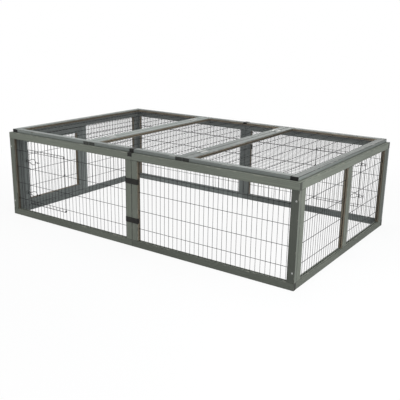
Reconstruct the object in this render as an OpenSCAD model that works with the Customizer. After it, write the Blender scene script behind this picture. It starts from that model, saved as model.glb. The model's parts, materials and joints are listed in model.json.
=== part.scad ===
// Outdoor rabbit run: a low pen of timber frames filled with welded wire mesh, with a mesh
// lid in three panels and two wire doors. The back is the front turned half round about the
// upright axis. The right end is the left end turned round, but for its two plain bays: the
// front bay of the left end holds a framed panel of its own.
// The origin is on the ground under the middle. +X is to the right along the front, +Y goes
// to the back and +Z is up. The run has no floor: it stands on grass.

/* [Overall] */
// Length of the run over its end walls
run_length = 1780; // [1500:10:2200]
// Depth of the run over its front and back walls
run_depth = 1100; // [900:10:1400]
// Height of the walls, without the lid
wall_height = 474; // [440:2:560]

/* [Wall timber] */
// Thickness of the wall frames
wall_thickness = 22; // [20:1:30]
// Face height of the top and bottom rails
rail_height = 35; // [28:1:44]
// Face width of the stiles of the long walls, and of the centre stile beside the end panel
stile_width = 36; // [30:1:44]
// Face width of the outer stiles of the end walls
end_stile_width = 41; // [32:1:48]
// Face width of the centre stile of the right end
centre_stile_width = 48; // [36:1:60]
// Flat taken off the long edges of every timber
timber_chamfer = 1.5; // [0.5:0.5:2.5]
// Depth of the groove that holds the mesh and the tongues
groove_depth = 8; // [5:1:10]
// Gap round a tongue in its groove, on each face
tongue_clearance = 0.1; // [0.05:0.05:0.2]
// Gap at the middle seams, between the two panels of a long wall
panel_seam = 1; // [0.5:0.5:2]

/* [Wire mesh] */
// Thickness of the close wires of the mesh, which stand upright in the walls
close_wire = 1.9; // [1.6:0.1:2.4]
// Thickness of the wide wires that cross them
wide_wire = 2.5; // [1.8:0.1:2.8]
// Spacing of the close wires
close_pitch = 25; // [20:1:34]
// Spacing of the wide wires
wide_pitch = 93; // [88:1:98]
// Gap between the mesh and each face of its groove
mesh_clearance = 0.2; // [0.1:0.05:0.3]

/* [End panel] */
// Face height of the rails of the panel in the left end
panel_rail_height = 36; // [28:1:44]
// Face width of its stiles
panel_stile_width = 40; // [32:1:48]
// Gap between the panel and the timber beside it and above it
panel_gap = 0.5; // [0.3:0.1:1]
// Number of wide wires in its mesh
panel_row_count = 3; // [2:1:3]

/* [Lid] */
// Thickness of the lid frames
lid_thickness = 18; // [16:1:26]
// Distance that the lid is set in from the outer faces of the walls
lid_inset = 15; // [5:1:16]
// Width of the lid timbers that run from front to back
lid_side_width = 38; // [32:1:48]
// Width of the lid timbers along the front and the back
lid_cross_width = 35; // [28:1:44]
// Gap between two lid panels
lid_seam = 2; // [1:0.5:3]

/* [Lid hinges] */
// Distance from the front or back edge of the lid to the middle of a hinge
hinge_inset = 165; // [100:5:250]
// Length of a hinge along its pin
hinge_length = 48; // [40:2:60]
// Width of one leaf, from the pin outwards
leaf_width = 21; // [18:1:24]
// Thickness of a leaf
leaf_thickness = 1.5; // [1.2:0.1:2]
// Outer diameter of the knuckles
knuckle_diameter = 6.4; // [5.8:0.2:8]
// Diameter of the hinge pin
hinge_pin_diameter = 3; // [2:0.1:3.4]
// Gap between the pin and its bores, all round
pin_clearance = 0.05; // [0.02:0.01:0.1]
// Gap between neighbouring knuckles, and round them
knuckle_gap = 0.4; // [0.3:0.1:0.6]
// Distance between the two screws of a leaf
leaf_screw_spacing = 30; // [22:1:34]

/* [Doors] */
// Number of close wires between the end of the run and the latch side of the door
door_start_count = 4; // [3:1:6]
// Number of mesh spacings that a door is wide
door_width_count = 11; // [9:1:13]
// Distance that a door reaches past its opening at the top and at the bottom
door_overlap = 14; // [12:1:20]
// Thickness of the border wires along the top and the bottom of a door
door_wire = 3; // [2.4:0.1:3.4]
// Gap between a closed door and the mesh behind it
door_gap = 1; // [0.5:0.1:1.4]
// Gap round the hinge wire of a door in its rings
door_pin_clearance = 0.05; // [0.02:0.01:0.1]
// Height of one hinge ring
ring_height = 6; // [5:0.5:7]
// Wall of a hinge ring
ring_wall = 1.2; // [1:0.1:1.4]

/* [Door bolts] */
// Thickness of the bent wire of a bolt
bolt_wire = 3; // [2:0.1:3.2]
// Length of the ring that the fingers pull
bolt_ring_length = 46; // [40:1:50]
// Height of that ring
bolt_ring_height = 33; // [28:1:38]
// Distance between the middles of the two prongs
bolt_prong_spacing = 12; // [9:0.5:15]
// Distance that the prongs reach past the door when they are drawn back
bolt_reach = 20; // [16:0.5:21]
// Sliding travel from drawn back to latched
bolt_travel = 12; // [10:0.5:14]
// Gap between a bolt and what guides it
bolt_clearance = 0.3; // [0.2:0.05:0.5]
// Gap left between the ring and the latch side of the door when a bolt is latched
bolt_end_gap = 0.9; // [0.5:0.1:1.5]
// Height of a bolt above or below the nearest edge of the opening
bolt_inset = 48; // [40:1:60]
// Thickness of the staples that guide and catch the bolts
staple_wire = 2; // [1.6:0.1:2.4]

/* [Clips and screws] */
// Height of a clip that holds the two stiles of a middle seam together
post_clip_height = 26.5; // [20:0.5:34]
// Thickness of the strip of those clips
post_clip_strip = 2.5; // [1.5:0.5:3]
// Depth that the legs of those clips reach back beside the stiles
post_clip_leg = 10; // [6:0.5:10]
// Gap between those legs and the stiles
post_clip_play = 0.2; // [0.1:0.1:0.5]
// Distance from the ground, or the top of the wall, to the middle of such a clip
post_clip_inset = 138; // [110:1:170]
// Width of a strap that holds the middle lid panel down
lid_clip_width = 25.5; // [18:0.5:34]
// Thickness of that strap
lid_clip_strip = 1.5; // [1:0.5:2]
// Length of the strap down the outer face of the wall
lid_clip_drop = 16; // [10:1:24]
// Sideways place of the front strap, from the middle
lid_clip_offset = -9; // [-14:1:-6]
// Distance from the ground, or the top of the wall, to a corner screw
corner_screw_inset = 79.5; // [60:0.5:100]
// Length of a corner screw
corner_screw_length = 45; // [40:1:50]
// Diameter of a corner screw
corner_screw_diameter = 4; // [3.5:0.5:5]
// Diameter of its head
corner_head_diameter = 8; // [7:0.5:9]
// Length of a hinge screw
hinge_screw_length = 12; // [10:1:14]
// Diameter of a hinge screw
hinge_screw_diameter = 3; // [2.5:0.5:3.5]
// Diameter of its head
hinge_head_diameter = 5.4; // [4.8:0.2:6]
// Gap between a screw and its hole, all round
screw_clearance = 0.05; // [0.02:0.01:0.1]

/* [Hidden] */
$fn = 24;

// Paint: a grey green glaze on the timber, black zinc on the wire and the clips
timber_paint = [0.42, 0.45, 0.42];
lid_paint = [0.56, 0.60, 0.57];
wire_paint = [0.20, 0.20, 0.20];
clip_paint = [0.08, 0.08, 0.08];
steel_paint = [0.72, 0.73, 0.72];

// Cutters run past the faces that they cut by this much
cut = 1;
// Mesh wires are six-sided bars, laid in two layers with a hair between them
wire_sides = 6;
weld_gap = 0.02;

// Grooves and tongues
groove_width = 2 * max(close_wire, wide_wire) + weld_gap + 2 * mesh_clearance;
tongue_thickness = groove_width - 2 * tongue_clearance;
// Middles of the two layers of wire, in front of the mesh line and behind it
close_layer = (close_wire + weld_gap) / 2;
wide_layer = -(wide_wire + weld_gap) / 2;

// Long walls: two panels each, meeting at the middle seam
half_length = run_length / 2;
half_depth = run_depth / 2;
panel_length = half_length - panel_seam / 2;
bay_height = wall_height - 2 * rail_height;
// Clear width between the stiles of the front left panel
bay_left = stile_width - half_length;
bay_right = -panel_seam / 2 - stile_width;

// End walls stand between the long walls
end_length = run_depth - 2 * wall_thickness;
// Clear places along an end wall, seen from outside the left end
end_bay_edge = end_length / 2 - end_stile_width;
centre_edge = centre_stile_width / 2;

// Panel in the front bay of the left end, which stands on the bottom rail
panel_left = stile_width - centre_edge + panel_gap;
panel_right = end_bay_edge - panel_gap;
panel_high = wall_height - rail_height - panel_gap;
panel_mesh_left = panel_left + panel_stile_width;
panel_mesh_right = panel_right - panel_stile_width;
panel_mesh_low = rail_height + panel_rail_height;
panel_mesh_high = panel_high - panel_rail_height;

// Lid
lid_length = run_length - 2 * lid_inset;
lid_depth = run_depth - 2 * lid_inset;
lid_panel_length = (lid_length - 2 * lid_seam) / 3;
lid_top = wall_height + lid_thickness;
lid_pitch = lid_panel_length + lid_seam;
cross_length = lid_panel_length - 2 * lid_side_width;

// Lid hinges: the pin lies over the seam, a little above the lid
seam_x = lid_pitch / 2;
hinge_y = lid_depth / 2 - hinge_inset;
pin_height = knuckle_diameter / 2 + knuckle_gap;
knuckle_length = (hinge_length - 2 * knuckle_gap) / 3;
leaf_screw_x = (leaf_width + knuckle_diameter / 2 + knuckle_gap) / 2;

// Screw heads
corner_head_height = (corner_head_diameter - corner_screw_diameter) / 2;
hinge_head_height = leaf_thickness;

// Wires of the front left wall mesh, as places along the wall and above the ground
mesh_columns = wire_lines(bay_left, bay_right, close_pitch);
mesh_rows = wire_lines(rail_height, wall_height - rail_height, wide_pitch);

// Door, in the frame of the wall: x along the wall, y up and z outwards from the mesh
door_end_count = door_start_count + door_width_count;
door_latch_x = mesh_columns[door_start_count];
door_hinge_x = mesh_columns[door_end_count];
door_bottom = mesh_rows[0] - door_overlap;
door_top = mesh_rows[len(mesh_rows) - 1] + door_overlap;
mesh_front = close_wire + weld_gap / 2;
door_back = mesh_front + door_gap;
door_middle = door_back + door_wire;
door_front = door_middle + weld_gap + close_wire;
hinge_wire_z = door_middle + weld_gap + close_wire / 2;
ring_places = [
    mesh_rows[0] - door_overlap / 2,
    mesh_rows[len(mesh_rows) - 2] + door_overlap / 2,
    mesh_rows[len(mesh_rows) - 1] + door_overlap / 2
];

// Bolts, drawn back
bolt_back = door_front + bolt_clearance;
staple_back = bolt_back + bolt_wire + bolt_clearance;
bolt_tip_x = door_latch_x - bolt_reach;
ring_start_x = door_latch_x + bolt_travel + staple_wire / 2 + bolt_end_gap;
ring_end_x = ring_start_x + bolt_ring_length;
tail_guide_x = mesh_columns[door_start_count + ceil((ring_end_x - door_latch_x) / close_pitch)];
tail_end_x = tail_guide_x + bolt_travel + staple_wire;
keeper_x = mesh_columns[door_start_count - 1];
bolt_low = mesh_rows[0] + bolt_inset;
bolt_high = mesh_rows[len(mesh_rows) - 1] - bolt_inset;
// Half of the room inside a staple over the prongs, and over the tail
prong_span = (bolt_prong_spacing + bolt_wire) / 2 + bolt_clearance;
tail_span = bolt_wire / 2 + bolt_clearance;

// ---- places of the wires ----

// A number of evenly spaced lines about a middle
function spaced_lines(middle, count, pitch) =
    [for (i = [0 : count - 1]) middle + (i - (count - 1) / 2) * pitch];

// Evenly spaced lines that fill the room between two edges
function wire_lines(low, high, pitch) =
    spaced_lines((low + high) / 2, round((high - low) / pitch), pitch);

// ---- frames of reference ----

// Turns a piece of the front or the left end into its partner at the back or the right end
module half_turn() {
    rotate([0, 0, 180]) children();
}

// The front wall seen from outside: x to the right, y up, z outwards from the mesh
module on_front_wall() {
    translate([0, wall_thickness / 2 - half_depth, 0]) rotate([90, 0, 0]) children();
}

// The left end wall seen from outside, x from the back to the front
module on_left_end() {
    rotate([0, 0, -90])
        translate([0, wall_thickness / 2 - half_length, 0]) rotate([90, 0, 0]) children();
}

// The lid seen from above, z upwards from its mesh
module on_lid() {
    translate([0, 0, wall_height + lid_thickness / 2]) children();
}

// ---- timber ----

// A planed bar along x from x = 0, with its long edges taken off
module bar(length, width, thickness) {
    c = timber_chamfer;
    a = width / 2;
    b = thickness / 2;
    rotate([90, 0, 90]) linear_extrude(length)
        polygon([
            [-a + c, -b], [a - c, -b], [a, -b + c], [a, b - c],
            [a - c, b], [-a + c, b], [-a, b - c], [-a, -b + c]
        ]);
}

// A frame timber along x. Sides lists the edges with a groove: -1 is the low one, 1 the
// high one. With tongues it fits between two grooved timbers.
module timber(length, width, thickness, sides, tongues) {
    difference() {
        union() {
            bar(length, width, thickness);
            if (tongues)
                translate([-groove_depth, -width / 2, -tongue_thickness / 2])
                    cube([length + 2 * groove_depth, width, tongue_thickness]);
        }
        for (side = sides)
            translate([
                -groove_depth - cut,
                side > 0 ? width / 2 - groove_depth : -width / 2 - cut,
                -groove_width / 2
            ])
                cube([length + 2 * (groove_depth + cut), groove_depth + cut, groove_width]);
    }
}

// A timber along x whose low edge is at y
module timber_x(x, y, length, width, thickness, sides, tongues) {
    translate([x, y + width / 2, 0]) timber(length, width, thickness, sides, tongues);
}

// A timber along y whose left edge is at x. Sides are -1 for the left and 1 for the right.
module timber_y(x, y, length, width, thickness, sides, tongues) {
    translate([x + width / 2, y, 0]) rotate([0, 0, 90])
        timber(length, width, thickness, [for (side = sides) -side], tongues);
}

module wall_bottom_rail(x, length) {
    timber_x(x, 0, length, rail_height, wall_thickness, [1], false);
}

module wall_top_rail(x, length) {
    timber_x(x, wall_height - rail_height, length, rail_height, wall_thickness, [-1], false);
}

module wall_stile(x, width, sides) {
    timber_y(x, rail_height, bay_height, width, wall_thickness, sides, true);
}

// ---- wire ----

// A straight wire along z with flats towards -y and y
module wire(length, thickness) {
    cylinder(h = length, d = thickness / cos(180 / wire_sides), $fn = wire_sides);
}

// Wires along y between two heights, at each place of a list
module wires_up(places, low, high, middle_z, thickness) {
    for (x = places)
        translate([x, low, middle_z]) rotate([-90, 0, 0]) wire(high - low, thickness);
}

// Wires along x between two places, at each height of a list
module wires_across(heights, left, right, middle_z, thickness) {
    for (y = heights)
        translate([left, y, middle_z])
            rotate([0, 90, 0]) rotate([0, 0, 90]) wire(right - left, thickness);
}

// The mesh of one frame, between its clear edges
module framed_mesh(left, right, low, high, rows) {
    wires_up(
        wire_lines(left, right, close_pitch), low - groove_depth, high + groove_depth,
        close_layer, close_wire
    );
    wires_across(rows, left - groove_depth, right + groove_depth, wide_layer, wide_wire);
}

// The mesh of one bay of a wall
module wall_mesh(left, right) {
    framed_mesh(left, right, rail_height, wall_height - rail_height, mesh_rows);
}

// The mesh of the front left panel, with the doorway cut out of it
module doorway_mesh() {
    low = rail_height - groove_depth;
    high = wall_height - rail_height + groove_depth;
    last_row = len(mesh_rows) - 1;
    kept = [
        for (i = [0 : len(mesh_columns) - 1])
            if (i <= door_start_count || i >= door_end_count) mesh_columns[i]
    ];
    cut_short = [for (i = [door_start_count + 1 : door_end_count - 1]) mesh_columns[i]];
    wires_up(kept, low, high, close_layer, close_wire);
    wires_up(cut_short, low, mesh_rows[0] + wide_wire / 2, close_layer, close_wire);
    wires_up(cut_short, mesh_rows[last_row] - wide_wire / 2, high, close_layer, close_wire);
    wires_across(
        [mesh_rows[0], mesh_rows[last_row]],
        bay_left - groove_depth, bay_right + groove_depth, wide_layer, wide_wire
    );
    inner_rows = [for (i = [1 : last_row - 1]) mesh_rows[i]];
    wires_across(
        inner_rows, bay_left - groove_depth, door_latch_x + close_wire / 2,
        wide_layer, wide_wire
    );
    wires_across(
        inner_rows, door_hinge_x - close_wire / 2, bay_right + groove_depth,
        wide_layer, wide_wire
    );
}

// The mesh of one lid panel, whose close wires run along the run
module lid_mesh(middle_x) {
    reach_x = cross_length / 2 + groove_depth;
    reach_y = lid_depth / 2 - lid_cross_width;
    wires_across(
        wire_lines(-reach_y, reach_y, close_pitch),
        middle_x - reach_x, middle_x + reach_x, close_layer, close_wire
    );
    wires_up(
        wire_lines(middle_x - cross_length / 2, middle_x + cross_length / 2, wide_pitch),
        -reach_y - groove_depth, reach_y + groove_depth, wide_layer, wide_wire
    );
}

// ---- doors and bolts ----

// A square staple over something at height y that is half_span high on each side
module staple(x, y, half_span, foot_z) {
    for (side = [-1, 1])
        translate([
            x - staple_wire / 2,
            y + side * (half_span + staple_wire / 2) - staple_wire / 2,
            foot_z
        ])
            cube([staple_wire, staple_wire, staple_back + staple_wire - foot_z]);
    translate([x - staple_wire / 2, y - half_span - staple_wire, staple_back])
        cube([staple_wire, 2 * (half_span + staple_wire), staple_wire]);
}

// The front door: two layers of wire, the hinge wire and two guides for each bolt
module door_wires() {
    columns = [for (i = [door_start_count + 1 : door_end_count - 1]) mesh_columns[i]];
    rows = [for (i = [1 : len(mesh_rows) - 2]) mesh_rows[i]];
    low = door_bottom - door_wire / 2;
    high = door_top + door_wire / 2;
    left = door_latch_x - close_wire / 2;
    right = door_hinge_x + close_wire / 2;
    wires_up(columns, low, high, hinge_wire_z, close_wire);
    wires_across(rows, left, right, door_middle - wide_wire / 2, wide_wire);
    wires_across([door_bottom, door_top], left, right, door_middle - door_wire / 2, door_wire);
    translate([door_hinge_x, low, hinge_wire_z]) rotate([-90, 0, 0])
        cylinder(h = high - low, d = close_wire);
    union() {
        wires_up([door_latch_x], low, high, hinge_wire_z, close_wire);
        for (y = [bolt_low, bolt_high])
            staple(door_latch_x, y, prong_span, hinge_wire_z);
    }
    for (y = [bolt_low, bolt_high])
        staple(tail_guide_x, y, tail_span, hinge_wire_z);
}

// A loop outline with round ends, between two places along x
module racetrack(left, right, height) {
    r = height / 2;
    translate([left + r, -r]) square([right - left - height, height]);
    for (x = [left + r, right - r])
        translate([x, 0]) circle(d = height);
}

// A bolt bent from one wire: two prongs, the finger ring and the tail
module bolt(y) {
    inner_ring = bolt_ring_height - 2 * bolt_wire;
    translate([0, y, bolt_back]) linear_extrude(bolt_wire) {
        difference() {
            union() {
                racetrack(ring_start_x, ring_end_x, bolt_ring_height);
                racetrack(
                    bolt_tip_x, ring_start_x + bolt_ring_height,
                    bolt_prong_spacing + bolt_wire
                );
            }
            racetrack(ring_start_x + bolt_wire, ring_end_x - bolt_wire, inner_ring);
            racetrack(
                bolt_tip_x + bolt_wire, ring_start_x + bolt_ring_height,
                bolt_prong_spacing - bolt_wire
            );
        }
        translate([ring_end_x - bolt_wire, -bolt_wire / 2])
            square([tail_end_x - ring_end_x + bolt_wire, bolt_wire]);
    }
}

// A ring that ties the hinge wire of the door to the mesh wire behind it
module hinge_ring(y) {
    mesh_bore = close_wire / cos(180 / wire_sides) + 2 * door_pin_clearance;
    hinge_bore = close_wire + 2 * door_pin_clearance;
    translate([door_hinge_x, y - ring_height / 2, 0]) rotate([-90, 0, 0])
        difference() {
            union() {
                translate([0, -close_layer, 0])
                    cylinder(h = ring_height, d = mesh_bore + 2 * ring_wall);
                translate([0, -hinge_wire_z, 0])
                    cylinder(h = ring_height, d = hinge_bore + 2 * ring_wall);
                translate([-ring_wall, -hinge_wire_z, 0])
                    cube([2 * ring_wall, hinge_wire_z - close_layer, ring_height]);
            }
            translate([0, -close_layer, -cut]) cylinder(h = ring_height + 2 * cut, d = mesh_bore);
            translate([0, -hinge_wire_z, -cut])
                cylinder(h = ring_height + 2 * cut, d = hinge_bore);
        }
}

// ---- screws and hinges ----

// A countersunk screw pointing down, its head face at z = 0
module screw_shape(length, diameter, head_diameter, head_height, clearance) {
    translate([0, 0, -length]) cylinder(h = length, d = diameter + 2 * clearance);
    translate([0, 0, -head_height])
        cylinder(
            h = head_height, d1 = diameter + 2 * clearance,
            d2 = head_diameter + 2 * clearance
        );
}

// Two screws at each corner, through the long wall into the end wall
module corner_screws(clearance) {
    for (turn = [0, 180], side = [-1, 1])
        for (z = [corner_screw_inset, wall_height - corner_screw_inset])
            rotate([0, 0, turn])
                translate([side * (half_length - wall_thickness / 2), -half_depth, z])
                    rotate([90, 0, 0])
                        screw_shape(
                            corner_screw_length, corner_screw_diameter,
                            corner_head_diameter, corner_head_height, clearance
                        );
}

// Screws of the leaves on one side of a seam: side is -1 for the left leaves, 1 for the right
module hinge_screws(x, side, clearance) {
    for (y = [-hinge_y, hinge_y], step = [-0.5, 0.5])
        translate([
            x + side * leaf_screw_x, y + step * leaf_screw_spacing, lid_top + leaf_thickness
        ])
            screw_shape(
                hinge_screw_length, hinge_screw_diameter,
                hinge_head_diameter, hinge_head_height, clearance
            );
}

// Place of one knuckle along the pin, counted from 0 to 2
function knuckle_start(i) = -hinge_length / 2 + i * (knuckle_length + knuckle_gap);

// Knuckles about the pin, which lies along y. The root joins them to the leaf on their side.
module knuckles(which, side) {
    for (i = which) {
        translate([0, knuckle_start(i), 0]) rotate([-90, 0, 0])
            cylinder(h = knuckle_length, d = knuckle_diameter);
        translate([side > 0 ? 0 : -knuckle_diameter / 2, knuckle_start(i), -pin_height])
            cube([knuckle_diameter / 2, knuckle_length, pin_height]);
    }
}

// The leaves of both hinges on one side of a seam
module hinge_leaves(x, side, own, other) {
    difference() {
        for (y = [-hinge_y, hinge_y])
            translate([x, y, lid_top + pin_height])
                difference() {
                    union() {
                        translate([
                            side > 0 ? lid_seam / 2 : -leaf_width,
                            -hinge_length / 2, -pin_height
                        ])
                            cube([leaf_width - lid_seam / 2, hinge_length, leaf_thickness]);
                        knuckles(own, side);
                    }
                    for (i = other)
                        translate([0, knuckle_start(i) - knuckle_gap, 0]) rotate([-90, 0, 0])
                            cylinder(
                                h = knuckle_length + 2 * knuckle_gap,
                                d = knuckle_diameter + 2 * knuckle_gap
                            );
                    translate([0, -hinge_length / 2 - cut, 0]) rotate([-90, 0, 0])
                        cylinder(
                            h = hinge_length + 2 * cut,
                            d = hinge_pin_diameter + 2 * pin_clearance
                        );
                }
        hinge_screws(x, side, screw_clearance);
    }
}

// ---- long walls ----

module front_left_top_rail() {
    color(timber_paint) on_front_wall() wall_top_rail(-half_length, panel_length);
}

module front_left_bottom_rail() {
    color(timber_paint) on_front_wall() wall_bottom_rail(-half_length, panel_length);
}

module front_left_corner_stile() {
    color(timber_paint)
        difference() {
            on_front_wall() wall_stile(-half_length, stile_width, [1]);
            corner_screws(screw_clearance);
        }
}

module front_right_top_rail() {
    color(timber_paint) on_front_wall() wall_top_rail(panel_seam / 2, panel_length);
}

module front_right_bottom_rail() {
    color(timber_paint) on_front_wall() wall_bottom_rail(panel_seam / 2, panel_length);
}

module front_right_corner_stile() {
    color(timber_paint)
        difference() {
            on_front_wall() wall_stile(half_length - stile_width, stile_width, [-1]);
            corner_screws(screw_clearance);
        }
}

// The two stiles beside the middle seam, one for each panel
module front_middle_stiles() {
    color(timber_paint) on_front_wall() {
        wall_stile(bay_right, stile_width, [-1]);
        wall_stile(panel_seam / 2, stile_width, [1]);
    }
}

module front_left_mesh() {
    color(wire_paint) on_front_wall() doorway_mesh();
}

module front_right_mesh() {
    color(wire_paint) on_front_wall() wall_mesh(-bay_right, -bay_left);
}

module back_left_top_rail() half_turn() front_right_top_rail();
module back_left_bottom_rail() half_turn() front_right_bottom_rail();
module back_left_corner_stile() half_turn() front_right_corner_stile();
module back_right_top_rail() half_turn() front_left_top_rail();
module back_right_bottom_rail() half_turn() front_left_bottom_rail();
module back_right_corner_stile() half_turn() front_left_corner_stile();
module back_middle_stiles() half_turn() front_middle_stiles();
module back_left_mesh() half_turn() front_right_mesh();
module back_right_mesh() half_turn() front_left_mesh();

// ---- end walls ----

module left_end_top_rail() {
    color(timber_paint) on_left_end() wall_top_rail(-end_length / 2, end_length);
}

module left_end_bottom_rail() {
    color(timber_paint) on_left_end() wall_bottom_rail(-end_length / 2, end_length);
}

// The outer stiles of an end wall, seen from outside the left end: one at the front of the
// run and one at the back
module end_front_stile(sides) {
    color(timber_paint)
        difference() {
            on_left_end() wall_stile(end_bay_edge, end_stile_width, sides);
            corner_screws(screw_clearance);
        }
}

module end_back_stile() {
    color(timber_paint)
        difference() {
            on_left_end() wall_stile(-end_length / 2, end_stile_width, [1]);
            corner_screws(screw_clearance);
        }
}

module left_end_front_stile() end_front_stile([]);
module left_end_back_stile() end_back_stile();

// It stands beside the panel, and holds mesh on its back side only
module left_end_centre_stile() {
    color(timber_paint) on_left_end() wall_stile(-centre_edge, stile_width, [-1]);
}

module left_end_mesh() {
    color(wire_paint) on_left_end() wall_mesh(-end_bay_edge, -centre_edge);
}

module left_panel_rails() {
    length = panel_right - panel_left;
    color(timber_paint) on_left_end() {
        timber_x(
            panel_left, rail_height, length, panel_rail_height, wall_thickness, [1], false
        );
        timber_x(
            panel_left, panel_mesh_high, length, panel_rail_height, wall_thickness,
            [-1], false
        );
    }
}

module left_panel_stiles() {
    length = panel_mesh_high - panel_mesh_low;
    color(timber_paint) on_left_end() {
        timber_y(
            panel_left, panel_mesh_low, length, panel_stile_width, wall_thickness, [1], true
        );
        timber_y(
            panel_mesh_right, panel_mesh_low, length, panel_stile_width, wall_thickness,
            [-1], true
        );
    }
}

module left_panel_mesh() {
    middle = (panel_mesh_low + panel_mesh_high) / 2;
    color(wire_paint) on_left_end()
        framed_mesh(
            panel_mesh_left, panel_mesh_right, panel_mesh_low, panel_mesh_high,
            spaced_lines(middle, panel_row_count, wide_pitch)
        );
}

module right_end_top_rail() half_turn() left_end_top_rail();
module right_end_bottom_rail() half_turn() left_end_bottom_rail();
module right_end_front_stile() half_turn() end_back_stile();
module right_end_back_stile() half_turn() end_front_stile([-1]);

module right_end_centre_stile() {
    color(timber_paint) half_turn() on_left_end()
        wall_stile(-centre_edge, centre_stile_width, [-1, 1]);
}

// One sheet on each side of the centre stile
module right_end_mesh() {
    color(wire_paint) half_turn() on_left_end() {
        wall_mesh(-end_bay_edge, -centre_edge);
        wall_mesh(centre_edge, end_bay_edge);
    }
}

// ---- lid ----

// A side timber of a lid panel, right from the front of the lid to the back
module lid_side_rail(x, sides) {
    timber_y(x, -lid_depth / 2, lid_depth, lid_side_width, lid_thickness, sides, false);
}

// The two cross timbers of the lid panel about middle_x, at the front and at the back
module lid_cross_rails(middle_x) {
    left = middle_x - cross_length / 2;
    edge = lid_depth / 2;
    color(lid_paint) on_lid() {
        timber_x(left, -edge, cross_length, lid_cross_width, lid_thickness, [1], true);
        timber_x(
            left, edge - lid_cross_width, cross_length, lid_cross_width, lid_thickness,
            [-1], true
        );
    }
}

module lid_left_cross_rails() lid_cross_rails(-lid_pitch);
module lid_middle_cross_rails() lid_cross_rails(0);
module lid_right_cross_rails() half_turn() lid_left_cross_rails();

module lid_left_outer_rail() {
    color(lid_paint) on_lid() lid_side_rail(-lid_length / 2, [1]);
}

module lid_left_inner_rail() {
    color(lid_paint)
        difference() {
            on_lid() lid_side_rail(-seam_x - lid_seam / 2 - lid_side_width, [-1]);
            hinge_screws(-seam_x, -1, screw_clearance);
        }
}

module lid_middle_left_rail() {
    color(lid_paint)
        difference() {
            on_lid() lid_side_rail(-seam_x + lid_seam / 2, [1]);
            hinge_screws(-seam_x, 1, screw_clearance);
        }
}

module lid_middle_right_rail() half_turn() lid_middle_left_rail();
module lid_right_outer_rail() half_turn() lid_left_outer_rail();
module lid_right_inner_rail() half_turn() lid_left_inner_rail();

module lid_left_mesh() {
    color(wire_paint) on_lid() lid_mesh(-lid_pitch);
}

module lid_middle_mesh() {
    color(wire_paint) on_lid() lid_mesh(0);
}

module lid_right_mesh() half_turn() lid_left_mesh();

// ---- lid hinges ----

// The leaves of the left panel with their screws
module lid_left_hinge_leaves() {
    color(steel_paint) {
        hinge_leaves(-seam_x, -1, [1], [0, 2]);
        hinge_screws(-seam_x, -1, 0);
    }
}

module lid_middle_hinge_leaves() {
    color(steel_paint) {
        hinge_leaves(-seam_x, 1, [0, 2], [1]);
        half_turn() hinge_leaves(-seam_x, 1, [0, 2], [1]);
    }
}

module lid_right_hinge_leaves() half_turn() lid_left_hinge_leaves();

module lid_hinge_pins() {
    color(steel_paint)
        for (x = [-seam_x, seam_x], y = [-hinge_y, hinge_y])
            translate([x, y - hinge_length / 2, lid_top + pin_height]) rotate([-90, 0, 0])
                cylinder(h = hinge_length, d = hinge_pin_diameter);
}

// ---- doors ----

module front_door() {
    color(wire_paint) on_front_wall() door_wires();
}

module front_upper_bolt() {
    color(wire_paint) on_front_wall() bolt(bolt_high);
}

module front_lower_bolt() {
    color(wire_paint) on_front_wall() bolt(bolt_low);
}

module back_door() half_turn() front_door();
module back_upper_bolt() half_turn() front_upper_bolt();
module back_lower_bolt() half_turn() front_lower_bolt();

module door_hinge_rings() {
    color(wire_paint)
        for (turn = [0, 180]) rotate([0, 0, turn]) on_front_wall()
            for (y = ring_places) hinge_ring(y);
}

// Staples on the mesh that the prongs slide into
module bolt_keepers() {
    color(wire_paint)
        for (turn = [0, 180]) rotate([0, 0, turn]) on_front_wall()
            for (y = [bolt_low, bolt_high]) staple(keeper_x, y, prong_span, mesh_front);
}

// ---- clips and screws ----

// A strip bent round the front of the two middle stiles
module post_clip() {
    inside = bay_right - post_clip_play;
    outside = inside - post_clip_strip;
    face = -half_depth;
    linear_extrude(post_clip_height)
        polygon([
            [outside, face - post_clip_strip], [-outside, face - post_clip_strip],
            [-outside, face + post_clip_leg], [-inside, face + post_clip_leg],
            [-inside, face], [inside, face],
            [inside, face + post_clip_leg], [outside, face + post_clip_leg]
        ]);
}

module post_clips() {
    color(clip_paint)
        for (turn = [0, 180], middle = [post_clip_inset, wall_height - post_clip_inset])
            rotate([0, 0, turn]) translate([0, 0, middle - post_clip_height / 2]) post_clip();
}

// A strap from the face of the wall over the ledge and round the rail of the middle lid
// panel, ending above the mesh
module lid_clip() {
    s = lid_clip_strip;
    wall_face = -half_depth;
    lid_face = wall_face + lid_inset;
    rail_back = lid_face + lid_cross_width;
    leg_end = wall_height + lid_thickness / 2 + mesh_clearance;
    translate([lid_clip_offset - lid_clip_width / 2, 0, 0]) rotate([90, 0, 90])
        linear_extrude(lid_clip_width)
            polygon([
                [wall_face - s, wall_height - lid_clip_drop], [wall_face, wall_height - lid_clip_drop],
                [wall_face, wall_height], [lid_face, wall_height],
                [lid_face, lid_top], [rail_back, lid_top],
                [rail_back, leg_end], [rail_back + s, leg_end],
                [rail_back + s, lid_top + s], [lid_face - s, lid_top + s],
                [lid_face - s, wall_height + s], [wall_face - s, wall_height + s]
            ]);
}

module lid_clips() {
    color(clip_paint) {
        lid_clip();
        half_turn() lid_clip();
    }
}

// The screws at the corners and in the leaves of the middle lid panel
module wood_screws() {
    color(steel_paint) {
        corner_screws(0);
        hinge_screws(-seam_x, 1, 0);
        hinge_screws(seam_x, -1, 0);
    }
}

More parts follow.
